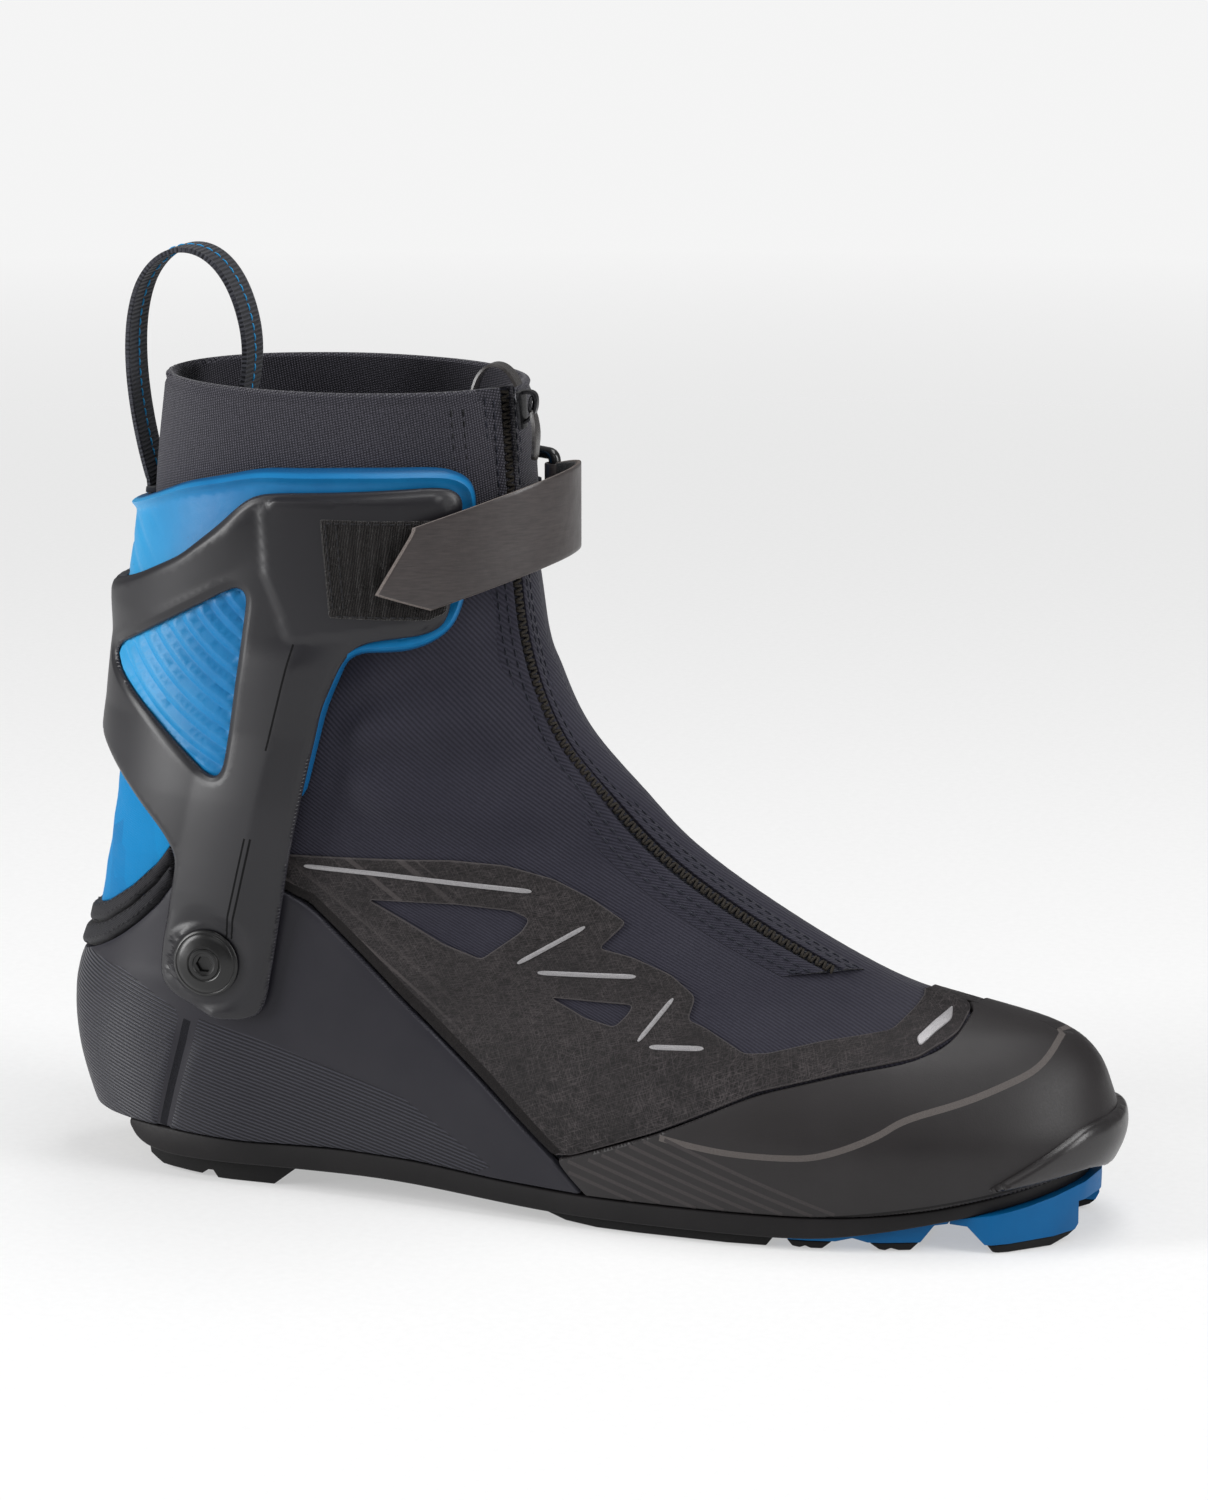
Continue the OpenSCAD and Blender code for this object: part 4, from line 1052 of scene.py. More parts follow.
def make_upper():
    outline = UPPER_LOW + [[310, 178.8], [-20, 178.8], [-20, 150.2], [41.5, 149.8], [41.5, 97.4]]
    piece = panel("softshell_upper", outline, -0.8, -2.6, [NAVY, LINING], cell=1.9, edge=0.5,
                  relief=wrinkles, back_look=1)
    placed(piece, "bend", "softshell_navy", "upper", "ankle_gaiter", "shin_panel")

    edge = [[71, 97], [107.5, 97], [119, 97.2], [133.6, 96], [146.5, 92.5], [157, 87.5],
            [166.7, 81.5], [160.3, 75.1], [169.5, 73], [180, 69], [187.4, 63.7], [186.3, 58.3],
            [191, 56.8], [203, 51.3], [209, 51.6], [223, 54.7], [240, 57], [244.5, 61.5],
            [247, 75], [259.5, 75], [257.2, 56.3], [248.4, 51.4], [231, 48.3], [208, 42.7], [181, 30.2],
            [157, 20.8], [151.4, 20.2], [131.5, 38.7], [107.5, 58.7], [80.4, 84], [71, 88.2]]
    # Strip along the bend of the film, painted darker: painted shade.
    fold = [[71, 88.2], [80.4, 84], [107.5, 58.7], [131.5, 38.7], [151.4, 20.2], [154, 21.4],
            [133.4, 40.8], [109.4, 60.8], [81.6, 86.4], [71, 90.8]]
    holes = [[[97, 85.5], [121, 85.3], [136.5, 84], [141, 82], [139, 78.6], [128.6, 71], [118, 74.5]],
             [[148.6, 62], [171, 61.2], [170, 59], [166.8, 55.6], [158.4, 57.4]]]

    def folded(x, z, side, rim):
        along = np.minimum(abs(to_line(x, z, (80.4, 84), (151.4, 20.2))[0]), 9)
        return 0.28 * np.exp(-((along - 1.2) / 0.9) ** 2) * smooth_step(x, 152, 146)

    piece = panel("overlay_film", edge, -0.05, -0.7, [FILM, FILM_FOLD_SHADE], holes=holes, cell=2.0,
                  edge=0.25, zones=[(fold, 1)], corner=1.5, relief=folded)
    placed(piece, "boot", "overlay_film", "overlay_lateral", "overlay_medial")

    lines = [strip([[79, 94.2], [100, 92.9], [141, 89.2]], 1.25), strip([[138.7, 70.4], [156, 80.4]], 1.2),
             strip([[144.4, 68.3], [171, 68.2]], 1.2), strip([[173.8, 52.5], [181.6, 63.2]], 1.2),
             strip([[177.2, 51.4], [192, 51.8]], 1.2)]
    pieces = [panel("line_%d" % i, line, 0.16, -0.1, [SILVER], sides=(LATERAL,), cell=0.9, edge=0.1,
                    step=0.8) for i, line in enumerate(lines)]
    bar = strip([[247.6, 54.4], [250.6, 57.2], [253.6, 59.3]], 2.4)
    pieces.append(panel("line_bar", rounded(bar, 0.8), 0.34, -0.1, [SILVER], sides=(LATERAL,),
                        cell=0.8, edge=0.25, step=0.7))
    placed(joined("reflective_lines", pieces), "boot", "reflective", "reflective_trim")


BAND_LINE = np.array([[-14, 57.2], [2, 58.2], [15.8, 64.8], [25.8, 71.8], [34.5, 79.6], [40.4, 87]])


def make_heel_bands():
    for name, low, high in (("lower", 0.2, 5.4), ("upper", 5.7, 10.9)):
        outline = np.concatenate([BAND_LINE + [0, low], (BAND_LINE + [0, high])[::-1]])
        piece = panel("heel_band_%s_shape" % name, outline, 1.75, -2.2, [BAND], cell=1.1, edge=1.9,
                      corner=1.0)
        placed(piece, "boot", "band_black", "heel_band_" + name)
    rows = []
    for lift in (1.3, 4.4, 7.0, 9.9):
        line = BAND_LINE[1:-1] + [0, lift]
        for side in BOTH:
            rows.append(trace(line, side, 1.42))
    placed(stitches("heel_band_stitches", rows, THREAD_BLACK, 1.7, 0.8, 0.2), "boot", "band_black")

    edge = np.concatenate([BAND_LINE + [0, 11.2], [[41.1, 104], [41.2, 140], [-14, 140]]])

    def facets(x, z, side, rim):
        p, q = (x + 1.7 * z) / 22.0, (x - 1.7 * z) / 22.0
        return -0.3 * (abs(p - np.round(p)) + abs(q - np.round(q)))

    piece = panel("achilles_shape", edge, -0.45, -2.4, [CYAN, LINING], cell=1.6, edge=0.5,
                  relief=facets, back_look=1)
    placed(piece, "bend", "softshell_cyan", "achilles_panel")


# ---- Inside --------------------------------------------------------------------------------

def make_inside():
    low = along_sole(312, -14, 1.9)
    piece = panel("bootie_shape", [[-14, 98.8], [137, 98.8], [146, 92], [152, 88], [176, 72],
                                   [204, 63], [222, 63], [236, 75], [312, 75]] + low,
                  -3.1, -6.8, [LINING], cell=3.4, edge=1.2, back_edge=1.2, step=2.5)
    placed(piece, "boot", "lining", "bootie_liner")

    def quilt(x, z, side, rim):
        return -0.3 + 0.3 * abs(np.sin(z / 5.0))

    piece = panel("ankle_lining_shape", [[-14, 99.6], [210, 99.6], [210, 176.8], [-14, 176.8]],
                  -3.1, -6.8, [LINING], cell=2.8, edge=1.2, back_edge=1.3, relief=quilt, step=2.5)
    placed(piece, "bend", "lining", "ankle_lining")
    make_tongue()

    zs, lace_depth = [76, 81, 86.5, 92, 97.5], -4.9
    path = []
    for i, z in enumerate(zs):
        turns = [164, 172, 180, 188, 196]
        for a in turns if i % 2 == 0 else turns[::-1]:
            point = skin_point(np.array([float(z)]), np.array([float(a)]))
            path.append((point + skin_normal(np.array([float(z)]), np.array([float(a)])) * lace_depth)[0])
    path = even(path, 0.9)
    across, out = directions(path, (0.1, 0.99, 0.05))
    lace = sweep("lace_shape", path, across, out, ring_profile(0.85, 10), [CORD])
    placed(lace, "boot", "cord_grey", "lace")
    placed(bevelled("lace_guides", THREAD_BLACK, 0.2, 2), "boot", "webbing_black", "lace_guides")
    placed(bevelled("insole", INSOLE, 1.2, 3), "boot", "insole_foam", "insole")


def make_tongue():
    """Padded tongue behind the zip: a strip that follows the front of the shin and instep."""
    zs = np.linspace(58, 173, 70)
    rows = []
    for y in np.linspace(-18, 18, 17):
        a = angle_at_y(zs, y)
        rows.append((skin_point(zs, a), skin_normal(zs, a), y))
    points, cloth, n = [], [], len(zs)
    for layer, off in ((0, -7.6), (1, -10.9)):
        for base, normal, y in rows:
            thin = 1.3 * (abs(y) / 18) ** 4
            bulge = 0.25 * np.cos((zs - 60) / 3.2) * (abs(y) < 17)
            d = off + (bulge - thin if layer == 0 else thin)
            points.append(base + normal * np.reshape(d, (-1, 1)))
            cloth.append(np.column_stack([np.full(n, y), zs, zs * 0]))
    m = len(rows)
    faces = []
    for layer in (0, 1):
        for j in range(m - 1):
            for i in range(n - 1):
                f = [(layer * m + j) * n + i, (layer * m + j + 1) * n + i,
                     (layer * m + j + 1) * n + i + 1, (layer * m + j) * n + i + 1]
                faces.append(f)
    for i in range(n - 1):
        for j in (0, m - 1):
            faces.append([j * n + i, j * n + i + 1, (m + j) * n + i + 1, (m + j) * n + i])
    for j in range(m - 1):
        for i in (0, n - 1):
            faces.append([j * n + i, (j + 1) * n + i, (m + j + 1) * n + i, (m + j) * n + i])
    tongue = build("tongue_shape", np.concatenate(points), faces, [LINING], None,
                   np.concatenate(cloth), None, 50)
    turned_out(tongue)
    placed(tongue, "bend", "lining", "tongue")


# ---- Collar and zip --------------------------------------------------------------------------

ZIP_Y = -12.0
COLLAR_LOW = 180
ZIP_Z = np.concatenate([[68.6, 69.6], np.arange(70.5, 84, 0.45), np.arange(84, 110, 0.8),
                        np.arange(110, 223.9, 1.2), [224.0]])


def front_line(y, off, zs=ZIP_Z):
    """Points and normals up the front of the boot at a given distance to the side."""
    a = angle_at_y(zs, y)
    n = skin_normal(zs, a)
    return skin_point(zs, a) + n * np.reshape(off, (-1, 1)), n


def make_collar():
    def swollen(x, z, side, rim):
        return (0.45 * np.sin(np.pi * np.clip((z - 180) / 44, 0, 1)) - 0.5 * smooth_step(rim, 3.4, 2.2)
                * smooth_step(rim, 1.4, 2.2) * (z > 200) + 0.12 * np.sin(x / 5.1 + z / 7.3))

    piece = panel("knit_collar_shape", [[-14, 180], [210, 180], [210, 224], [-14, 224]], -0.1, -2.9,
                  [KNIT, KNIT], cell=1.5, edge=1.2, back_edge=1.1, relief=swollen)
    placed(piece, "cuff", "knit_charcoal", "knit_collar")


def make_zip():
    offsets = [-7, -6.4, -5.4, -4.2, -3.0, -2.1, -1.6, -1.35, 1.35, 1.6, 2.1, 3.0, 4.2, 5.4, 6.4, 7]
    heights = [-0.62, -0.3, 0.0, 0.25, 0.62, 1.0, 0.9, 0.1]
    heights += heights[::-1]
    lines = [front_line(ZIP_Y + d, h) for d, h in zip(offsets, heights)]
    under = [front_line(ZIP_Y + d, -0.85) for d in (7, -7)]
    n, loops = len(ZIP_Z), [p for p, _ in lines] + [p for p, _ in under]
    m = len(loops)
    groove = offsets.index(-1.35)
    look_of = [1 if k == groove else 2 if ZIP_Z[i] > COLLAR_LOW else 0
               for k in range(m) for i in range(n - 1)] + [0, 0]
    length = run_along(loops[3])
    cloth = np.concatenate([np.column_stack([length, np.full(n, d), length * 0])
                            for d in offsets + [7, -7]])
    tape = build("zip_tape_shape", np.concatenate(loops), wrapped_faces(m, n), [NAVY, TAPE, KNIT],
                 look_of, cloth, None, 50)
    turned_out(tape)
    placed(tape, "bend", "zip_tape", "zip_tape")

    path, normal = front_line(ZIP_Y, 0.55)
    at = run_along(path)
    points, faces = [], []
    for i, s in enumerate(np.arange(0.8, at[-1] - 0.5, 1.15)):
        c, n = point_at(s, at, path), point_at(s, at, normal)
        ahead = point_at(s + 0.3, at, path) - c
        ahead /= np.linalg.norm(ahead)
        across = np.cross(n, ahead)
        across /= np.linalg.norm(across)
        first, lean = len(points), 0.35 * (1 if i % 2 else -1)
        shape = [(-1.3, -0.2, 0.25), (-1.1, 0.2, 0.42), (-0.5, 0.42, 0.45), (0.5, 0.42, 0.45),
                 (1.1, 0.2, 0.42), (1.3, -0.2, 0.25)]
        for y, lift, r in shape:
            centre = c + across * y + n * lift + ahead * lean * y / 1.7
            for t in np.arange(6) * math.pi / 3:
                points.append(centre + (ahead * math.cos(t) + n * math.sin(t)) * r)
        faces += [(first + j * 6 + k, first + j * 6 + (k + 1) % 6, first + (j + 1) * 6 + (k + 1) % 6,
                   first + (j + 1) * 6 + k) for j in range(5) for k in range(6)]
        faces += [tuple(first + k for k in range(6)), tuple(first + 30 + k for k in range(6))]
    teeth = build("zip_coil_shape", np.array(points), faces, [COIL], sharp=80)
    turned_out(teeth)
    placed(teeth, "bend", "zip_coil", "zip_teeth")

    rows = [front_line(ZIP_Y + d, h) for d, h in ((-3.5, 0.5), (-5.5, 0.02), (3.5, 0.5), (5.5, 0.02))]
    for h, inward in ((0.25, 0.8), (0.1, 2.6)):
        ends = [front_line(ZIP_Y + d, h) for d in np.linspace(-5.5, 5.5, 14)]
        first = ends[0][0]
        shift = (first[1] - first[0]) / np.linalg.norm(first[1] - first[0]) * inward
        rows.append((np.array([p[0] + shift for p, _ in ends]), np.array([n[0] for _, n in ends])))
    placed(stitches("zip_stitches", rows, THREAD, 2.2, 0.9, 0.27), "bend", "softshell_navy")
    zs = np.linspace(181, 221, 40)
    rows = [front_line(y, 0.18, zs) for y in (-22.4, -24.6)]
    placed(stitches("collar_stitches", rows, THREAD_BLACK, 2.0, 1.0, 0.25), "cuff", "knit_charcoal")


SLIDER_AT, SLIDER_LEAN = np.array([131.2, -12.0, 218.0]), math.atan2(3.5, 56)
HUB = (5.2, 3.0)


def on_zip(points):
    """From the slider's own frame (out, side, up) to the boot's."""
    p = np.asarray(points, float)
    c, s = math.cos(SLIDER_LEAN), math.sin(SLIDER_LEAN)
    return SLIDER_AT + np.column_stack([p[:, 0] * c - p[:, 2] * s, p[:, 1], p[:, 0] * s + p[:, 2] * c])


def make_slider():
    half_width = [(-5, 2.9), (-3.6, 3.3), (-1, 3.5), (2, 3.95), (4, 3.9), (5, 3.2)]
    points, faces, n = [], [], 14
    for z, w in half_width:
        for a in np.arange(n) * 2 * math.pi / n:
            x = 2.35 + 0.75 * np.sign(math.sin(a)) * abs(math.sin(a)) ** 0.5
            points.append((x, w * np.sign(math.cos(a)) * abs(math.cos(a)) ** 0.6, z))
    m = len(half_width)
    faces = [(i * n + k, i * n + (k + 1) % n, (i + 1) * n + (k + 1) % n, (i + 1) * n + k)
             for i in range(m - 1) for k in range(n)]
    faces += [tuple(range(n)), tuple((m - 1) * n + k for k in range(n))]
    body = build("slider_body", on_zip(points), faces, [ZIP_METAL], sharp=45)
    turned_out(body)
    bridge_path = np.array([[2.9, 0, -3.4], [4.6, 0, -2.6], [6.3, 0, -0.2], [6.7, 0, 3], [6.2, 0, 4.4],
                            [4.6, 0, 4.9], [2.9, 0, 4.6]])
    bridge_path = even(rounded(bridge_path, 2, closed=False), 0.5)
    across, out = directions(bridge_path, (0, 1, 0))
    bridge = sweep("slider_bridge", on_zip(bridge_path), across, out,
                   np.array([(0.5, 1.0), (0.3, 1.15), (-0.3, 1.15), (-0.5, 1.0), (-0.5, -1.0),
                             (-0.3, -1.15), (0.3, -1.15), (0.5, -1.0)]), [ZIP_METAL])
    slider = joined("zip_slider_shape", [body, bridge])
    placed(slider, "zip_slider", "zip_metal", "zip_slider")

    x0, z0 = HUB
    ring = np.array([[x0 + 0.1 + 0.25 * math.sin(t), 2.1 * math.cos(t), z0 - 1.7 + 2.1 * math.sin(t)]
                     for t in np.arange(32) * math.pi / 16])
    across, out = directions(ring, (1, 0, 0), closed=True)
    loop = sweep("puller_ring", on_zip(ring), across, out, ring_profile(0.5, 10), [ZIP_METAL], True)
    tongue = even(rounded([[x0 + 0.1, 0, z0 - 3.2], [x0 + 0.7, 0, z0 - 6], [x0 + 0.9, 0, z0 - 10],
                           [x0 + 0.3, 0, z0 - 14], [x0 - 0.1, 0, z0 - 16.6]], 3, closed=False), 0.6)
    across, out = directions(tongue, (1, 0, 0))
    shape = band_profile(5.0, 1.1, 0.4, 0.12)
    strap = sweep("puller_tongue", on_zip(tongue), across, out, shape, [PULLER])
    narrow(strap, on_zip([[x0, 0, z0 - 3.2]])[0], on_zip([[x0, 0, z0 - 16.6]])[0])
    placed(joined("zip_puller_shape", [loop, strap]), "zip_puller", "puller_rubber", "zip_puller")

    flap = bezier([120.2, -13.4, 219], [121, -13.2, 232.5], [129.5, -12.4, 233], [132.6, -12, 224.6], 26)
    guard = sweep("zip_garage", flap, np.tile([0, 1.0, 0], (len(flap), 1)),
                  directions(flap, (0, 1, 0))[0], band_profile(5.6, 0.9, 0.3), [PULLER])
    placed(guard, "cuff", "puller_rubber")


def narrow(piece, top, tip):
    """The piece tapers in towards both of its ends, like a pulled tongue."""
    a, b = metres([top])[0], metres([tip])[0]
    axis = (b - a) / np.dot(b - a, b - a)
    for v in piece.data.vertices:
        t = float(np.clip(np.dot(np.array(v.co) - a, axis), 0, 1))
        width = 0.62 + 0.38 * math.sin(math.pi * min(1, t * 1.25) / 1.25 * 0.9 + 0.25)
        if t > 0.93:
            width *= 1 - (t - 0.93) * 6
        v.co.y = a[1] + (v.co.y - a[1]) * width


# ---- Cuff ------------------------------------------------------------------------------------

PAD_EDGE = [[-14, 182.5], [5, 183.5], [22, 186], [35, 192], [48, 198], [69, 203.4], [94, 204.4],
            [114, 204.4], [119, 203], [122, 199], [122.3, 190], [120, 167], [117, 159.5],
            [109, 155], [93, 154.4], [86.4, 139], [80, 113], [70, 109], [48, 109], [32, 116],
            [5, 134], [-14, 136]]
FRAME_EDGE = [[-14, 157.5], [5, 158.5], [14, 160.5], [34, 170], [48, 178], [59, 187.5],
              [66, 194.5], [70, 196.8], [76, 197.6], [113, 199.6], [117, 198.8], [119, 195.8],
              [116.4, 165], [114.6, 161.4], [110.5, 159.6], [98, 158], [93.6, 155.4],
              [90.6, 151], [85.6, 139], [76.4, 99], [68.4, 56], [66.5, 52], [62.6, 50],
              [54, 50], [41, 55.8], [38, 58.4], [37.2, 62], [38.2, 70], [43, 92], [42.4, 96],
              [39, 101], [24, 114.6], [5, 130], [-14, 133]]
FRAME_WINDOW = [[60, 169.6], [64, 171.4], [66.4, 169.6], [66, 165], [58.6, 121], [56.6, 118],
                [53, 118.6], [24, 141.4], [21.8, 145], [24.4, 148.4]]
FRAME_OUT = FRAME_GAP + [0, FRAME_T]


def to_line(x, z, a, b):
    """Signed distance from a line, and how far along it, in the side view."""
    a, b = np.array(a, float), np.array(b, float)
    d = (b - a) / np.linalg.norm(b - a)
    return (x - a[0]) * d[1] - (z - a[1]) * d[0], (x - a[0]) * d[0] + (z - a[1]) * d[1]


def polygon_distance(x, z, outline):
    tree = tree_of(divided(outline, 0.5))
    points = np.column_stack([x, z])
    away = nearest(tree, points)
    return np.where(inside(points, [np.asarray(outline, float)]), away, -away)


RIB_CENTRE, RIB_PITCH = np.array([86.0, 190.0]), 5.0


def rib_lines():
    """Thin strips along the crests and grooves of the pad's ribs, so that edges follow them."""
    lines = []
    for r in np.arange(6, 17.5, 0.5) * RIB_PITCH:
        turn = np.radians(np.arange(180, 275, 115 / r))
        arc = RIB_CENTRE + r * np.column_stack([np.cos(turn), np.sin(turn)])
        arc = arc[polygon_distance(arc[:, 0], arc[:, 1], FRAME_WINDOW) > -0.6]
        if len(arc) > 3:
            lines.append(strip(arc, 0.5))
    return lines


def pad_relief(x, z, side, rim):
    """Bead round the edge, ribs in the frame's window and shallow grooves at the rear."""
    bead = 1.6 * np.exp(-((rim - 2.0) / 1.0) ** 2) - 0.4 * np.exp(-(rim / 0.8) ** 2)
    window = polygon_distance(x, z, FRAME_WINDOW)
    r = np.hypot(x - RIB_CENTRE[0], z - RIB_CENTRE[1])
    ribs = 1.45 * abs(np.sin(np.pi * r / RIB_PITCH)) - 0.75
    low_rear = smooth_step(z, 136, 128) * smooth_step(x, 60, 40)
    rear = smooth_step(x, 44, 30) * smooth_step(z, 160, 166) * smooth_step(rim, 4, 7)
    grooves = -0.5 * np.clip(np.sin((x * 0.9 + z * 0.75) / 1.35) - 0.2, 0, 1) * rear
    return bead + ribs * smooth_step(window, -0.2, 1.4) + grooves - 0.1 * low_rear


def frame_relief(x, z, side, rim):
    """Facets of the frame: a ridge down the arm and a raised plate. The slit on the ridge is not in this
    relief; it is painted on as flat strips of shade.
    """
    across, _ = to_line(x, z, (81.8, 162), (57.5, 66))
    arm = smooth_step(z, 160, 150) * smooth_step(np.hypot(x - PIVOT[0], z - PIVOT[1]), 11, 17)
    ridge = np.maximum(np.where(across > 0, 2.2 - 0.14 * across, 2.2 + 0.26 * across), -0.5)
    plate = [[78, 158], [72, 176], [71, 193], [75, 196], [113, 197.4], [116.2, 195], [114, 166],
             [111, 162.2], [98, 160.6]]
    raised = 0.7 * smooth_step(polygon_distance(x, z, plate), -0.7, 0.7)
    band_a, _ = to_line(x, z, (10, 151), (66, 186))
    band = 1.4 * np.clip(1 - abs(band_a + 2) / 9, 0, 1) * smooth_step(x, 74, 62) * smooth_step(z, 140, 148)
    chamfer = -0.8 * smooth_step(rim, 2.2, 0.3)
    return arm * ridge + raised + band + chamfer


def boss(points, base, outside):
    """Flat round boss of the frame about its pivot."""
    r = np.hypot(base[:, 0] - PIVOT[0], base[:, 2] - PIVOT[1])
    share = smooth_step(r, 11.6, 10.4)
    side = np.sign(base[:, 1])
    target = side * (41.65 if outside else 38.75)
    result = points.copy()
    result[:, 1] += (target - points[:, 1]) * share
    result[:, 0] += (base[:, 0] - points[:, 0]) * share
    result[:, 2] += (base[:, 2] - points[:, 2]) * share
    return result


def divided_line(line, low, high):
    """Points along part of a straight line."""
    return line[0] + (line[1] - line[0]) * np.linspace(low, high, 24).reshape(-1, 1)


def make_cuff():
    piece = panel("cuff_pad_shape", PAD_EDGE, FRAME_GAP - [0, 0.25], 0.45, [FOAM], cell=1.25,
                  edge=0.9, relief=pad_relief, corner=5, back_edge=0.2,
                  zones=[(line, 0) for line in rib_lines()], rows=(1.45, 2.0, 2.7, 3.6))
    placed(piece, "cuff", "pad_blue", "cuff_pad")
    bore = circle(PIVOT, 5.06, 40)
    ridge = np.array([[81.8, 161], [57.8, 67.5]])
    # Slits on the ridge: flat dark strips of painted shade, with no depth.
    slit_shade_strips = [strip(divided_line(ridge + [dx, 0], low, high), 0.55)
             for dx, low, high in ((-1.6, 0.04, 0.36), (0.0, 0.62, 0.94), (-1.6, 0.62, 0.94))]
    piece = panel("cuff_frame_shape", FRAME_EDGE, FRAME_OUT, FRAME_GAP, [FRAME, SLIT_SHADE],
                  holes=[FRAME_WINDOW, bore], cell=1.35, edge=0.75, corner=3.2,
                  zones=[(strip(divided_line(ridge + [1.5, 0], 0, 1), 0.4), 0)]
                  + [(slit, 1) for slit in slit_shade_strips],
                  relief=frame_relief, reshape=boss, back_edge=0.3, rows=(1.2, 1.8, 2.4))
    placed(piece, "cuff", "frame_charcoal", "cuff_frame")
    for side, name in ((LATERAL, "lateral"), (MEDIAL, "medial")):
        make_rivet(side, name)
    placed(bevelled("pivot_washers", NYLON, 0.15, 2), "boot", "washer_nylon", "pivot_washers")
    placed(bevelled("pivot_nuts", STEEL, 0.3, 2), "boot", "steel", "pivot_nuts")


def make_rivet(side, name):
    """Post with a dished cap, concentric rings and a six-sided socket."""
    out = 41.7
    profile = [(2.4, 32.2), (2.4, 34.2), (4.9, 34.2), (5.0, out + 0.2), (9.0, out + 0.22),
               (9.3, out + 0.4), (9.3, out + 0.85), (9.05, out + 1.15), (8.6, out + 1.35),
               (8.45, out + 1.25), (8.3, out + 1.25), (8.1, out + 1.5), (7.0, out + 1.95),
               (5.6, out + 2.3), (5.0, out + 2.45), (4.75, out + 2.35), (4.6, out + 2.15),
               (4.4, out + 2.15), (4.2, out + 2.45), (3.6, out + 2.62), (3.2, out + 2.55),
               (3.05, out + 2.3), (2.75, out + 2.2), (2.3, out + 2.15), (2.2, out + 2.0),
               (2.1, out + 0.9), (0.9, out + 0.8)]
    socket_from = len(profile) - 4

    def radius_at(k, r, angles):
        if k < socket_from or r < 1:
            return np.full(len(angles), r)
        turn = (angles % (math.pi / 3)) - math.pi / 6
        return r * 0.92 / np.cos(turn)

    piece = lathe("pivot_rivet_%s_shape" % name, profile, PIVOT, side, [RIVET], radius_at)
    placed(piece, "boot", "rivet_black", "pivot_rivet_" + name)


# ---- Strap -----------------------------------------------------------------------------------

STRAP_FRONT, RING_AT = (144.6, -3), np.array([129.5, 31.5])
STRAP_RISE, STRAP_MID, STRAP_W = math.tan(math.radians(19.4)), (114, 178.6), 24.0
RING_BACK = (skin_point(np.array([180.0]), np.array([227.0]))
             + skin_normal(np.array([180.0]), np.array([227.0])) * 10.7)[0][:2]


def make_patch():
    out = 5.2 + FRAME_T + 0.1
    outline = [[86.5, 191.5], [88.5, 165], [112, 164], [115.4, 166], [118, 191]]

    def tufts(x, z, side, rim):
        rng = np.random.default_rng(7)
        return rng.uniform(-0.16, 0.2, len(x)) * smooth_step(rim, 0.2, 0.8) + \
            0.18 * np.sin(x * 2.1) * smooth_step(x, 92, 94)

    piece = panel("loop_patch_shape", outline, out + 1.0, out, [LOOPS], sides=(LATERAL,), cell=0.62,
                  edge=0.4, relief=tufts, corner=0.8)
    placed(piece, "cuff", "loop_tape", "loop_patch")
    rows = [trace([[x + 0.075 * (191 - z), z] for z in np.linspace(190.3, 165.8, 30)], LATERAL, out + 1.1)
            for x in (87.8, 90.4)]
    rows.append(trace([[88, 190.6], [116.5, 190.2]], LATERAL, out + 1.08))
    rows.append(trace([[90, 165.6], [111, 165]], LATERAL, out + 1.08))
    placed(stitches("loop_patch_stitches", rows, THREAD_BLACK, 1.5, 0.6, 0.22), "cuff", "loop_tape")


def strap_tip_x(h):
    """How far back the strap reaches at a height across it: its end is cut to a blunt point."""
    offset = STRAP_MID[1] - STRAP_MID[0] * STRAP_RISE + h
    (x0, z0), (x1, z1), (x2, z2), (x3, z3) = (103, 172), (112, 188.4), (118, 220), (118, 166.9)
    upper = (z0 - offset - x0 * (z1 - z0) / (x1 - x0)) / (STRAP_RISE - (z1 - z0) / (x1 - x0))
    if upper > x1:
        upper = (z1 - offset - x1 * (z2 - z1) / (x2 - x1)) / (STRAP_RISE - (z2 - z1) / (x2 - x1))
    lower = (z0 - offset - x0 * (z3 - z0) / (x3 - x0)) / (STRAP_RISE - (z3 - z0) / (x3 - x0))
    return max(upper, lower, x0)


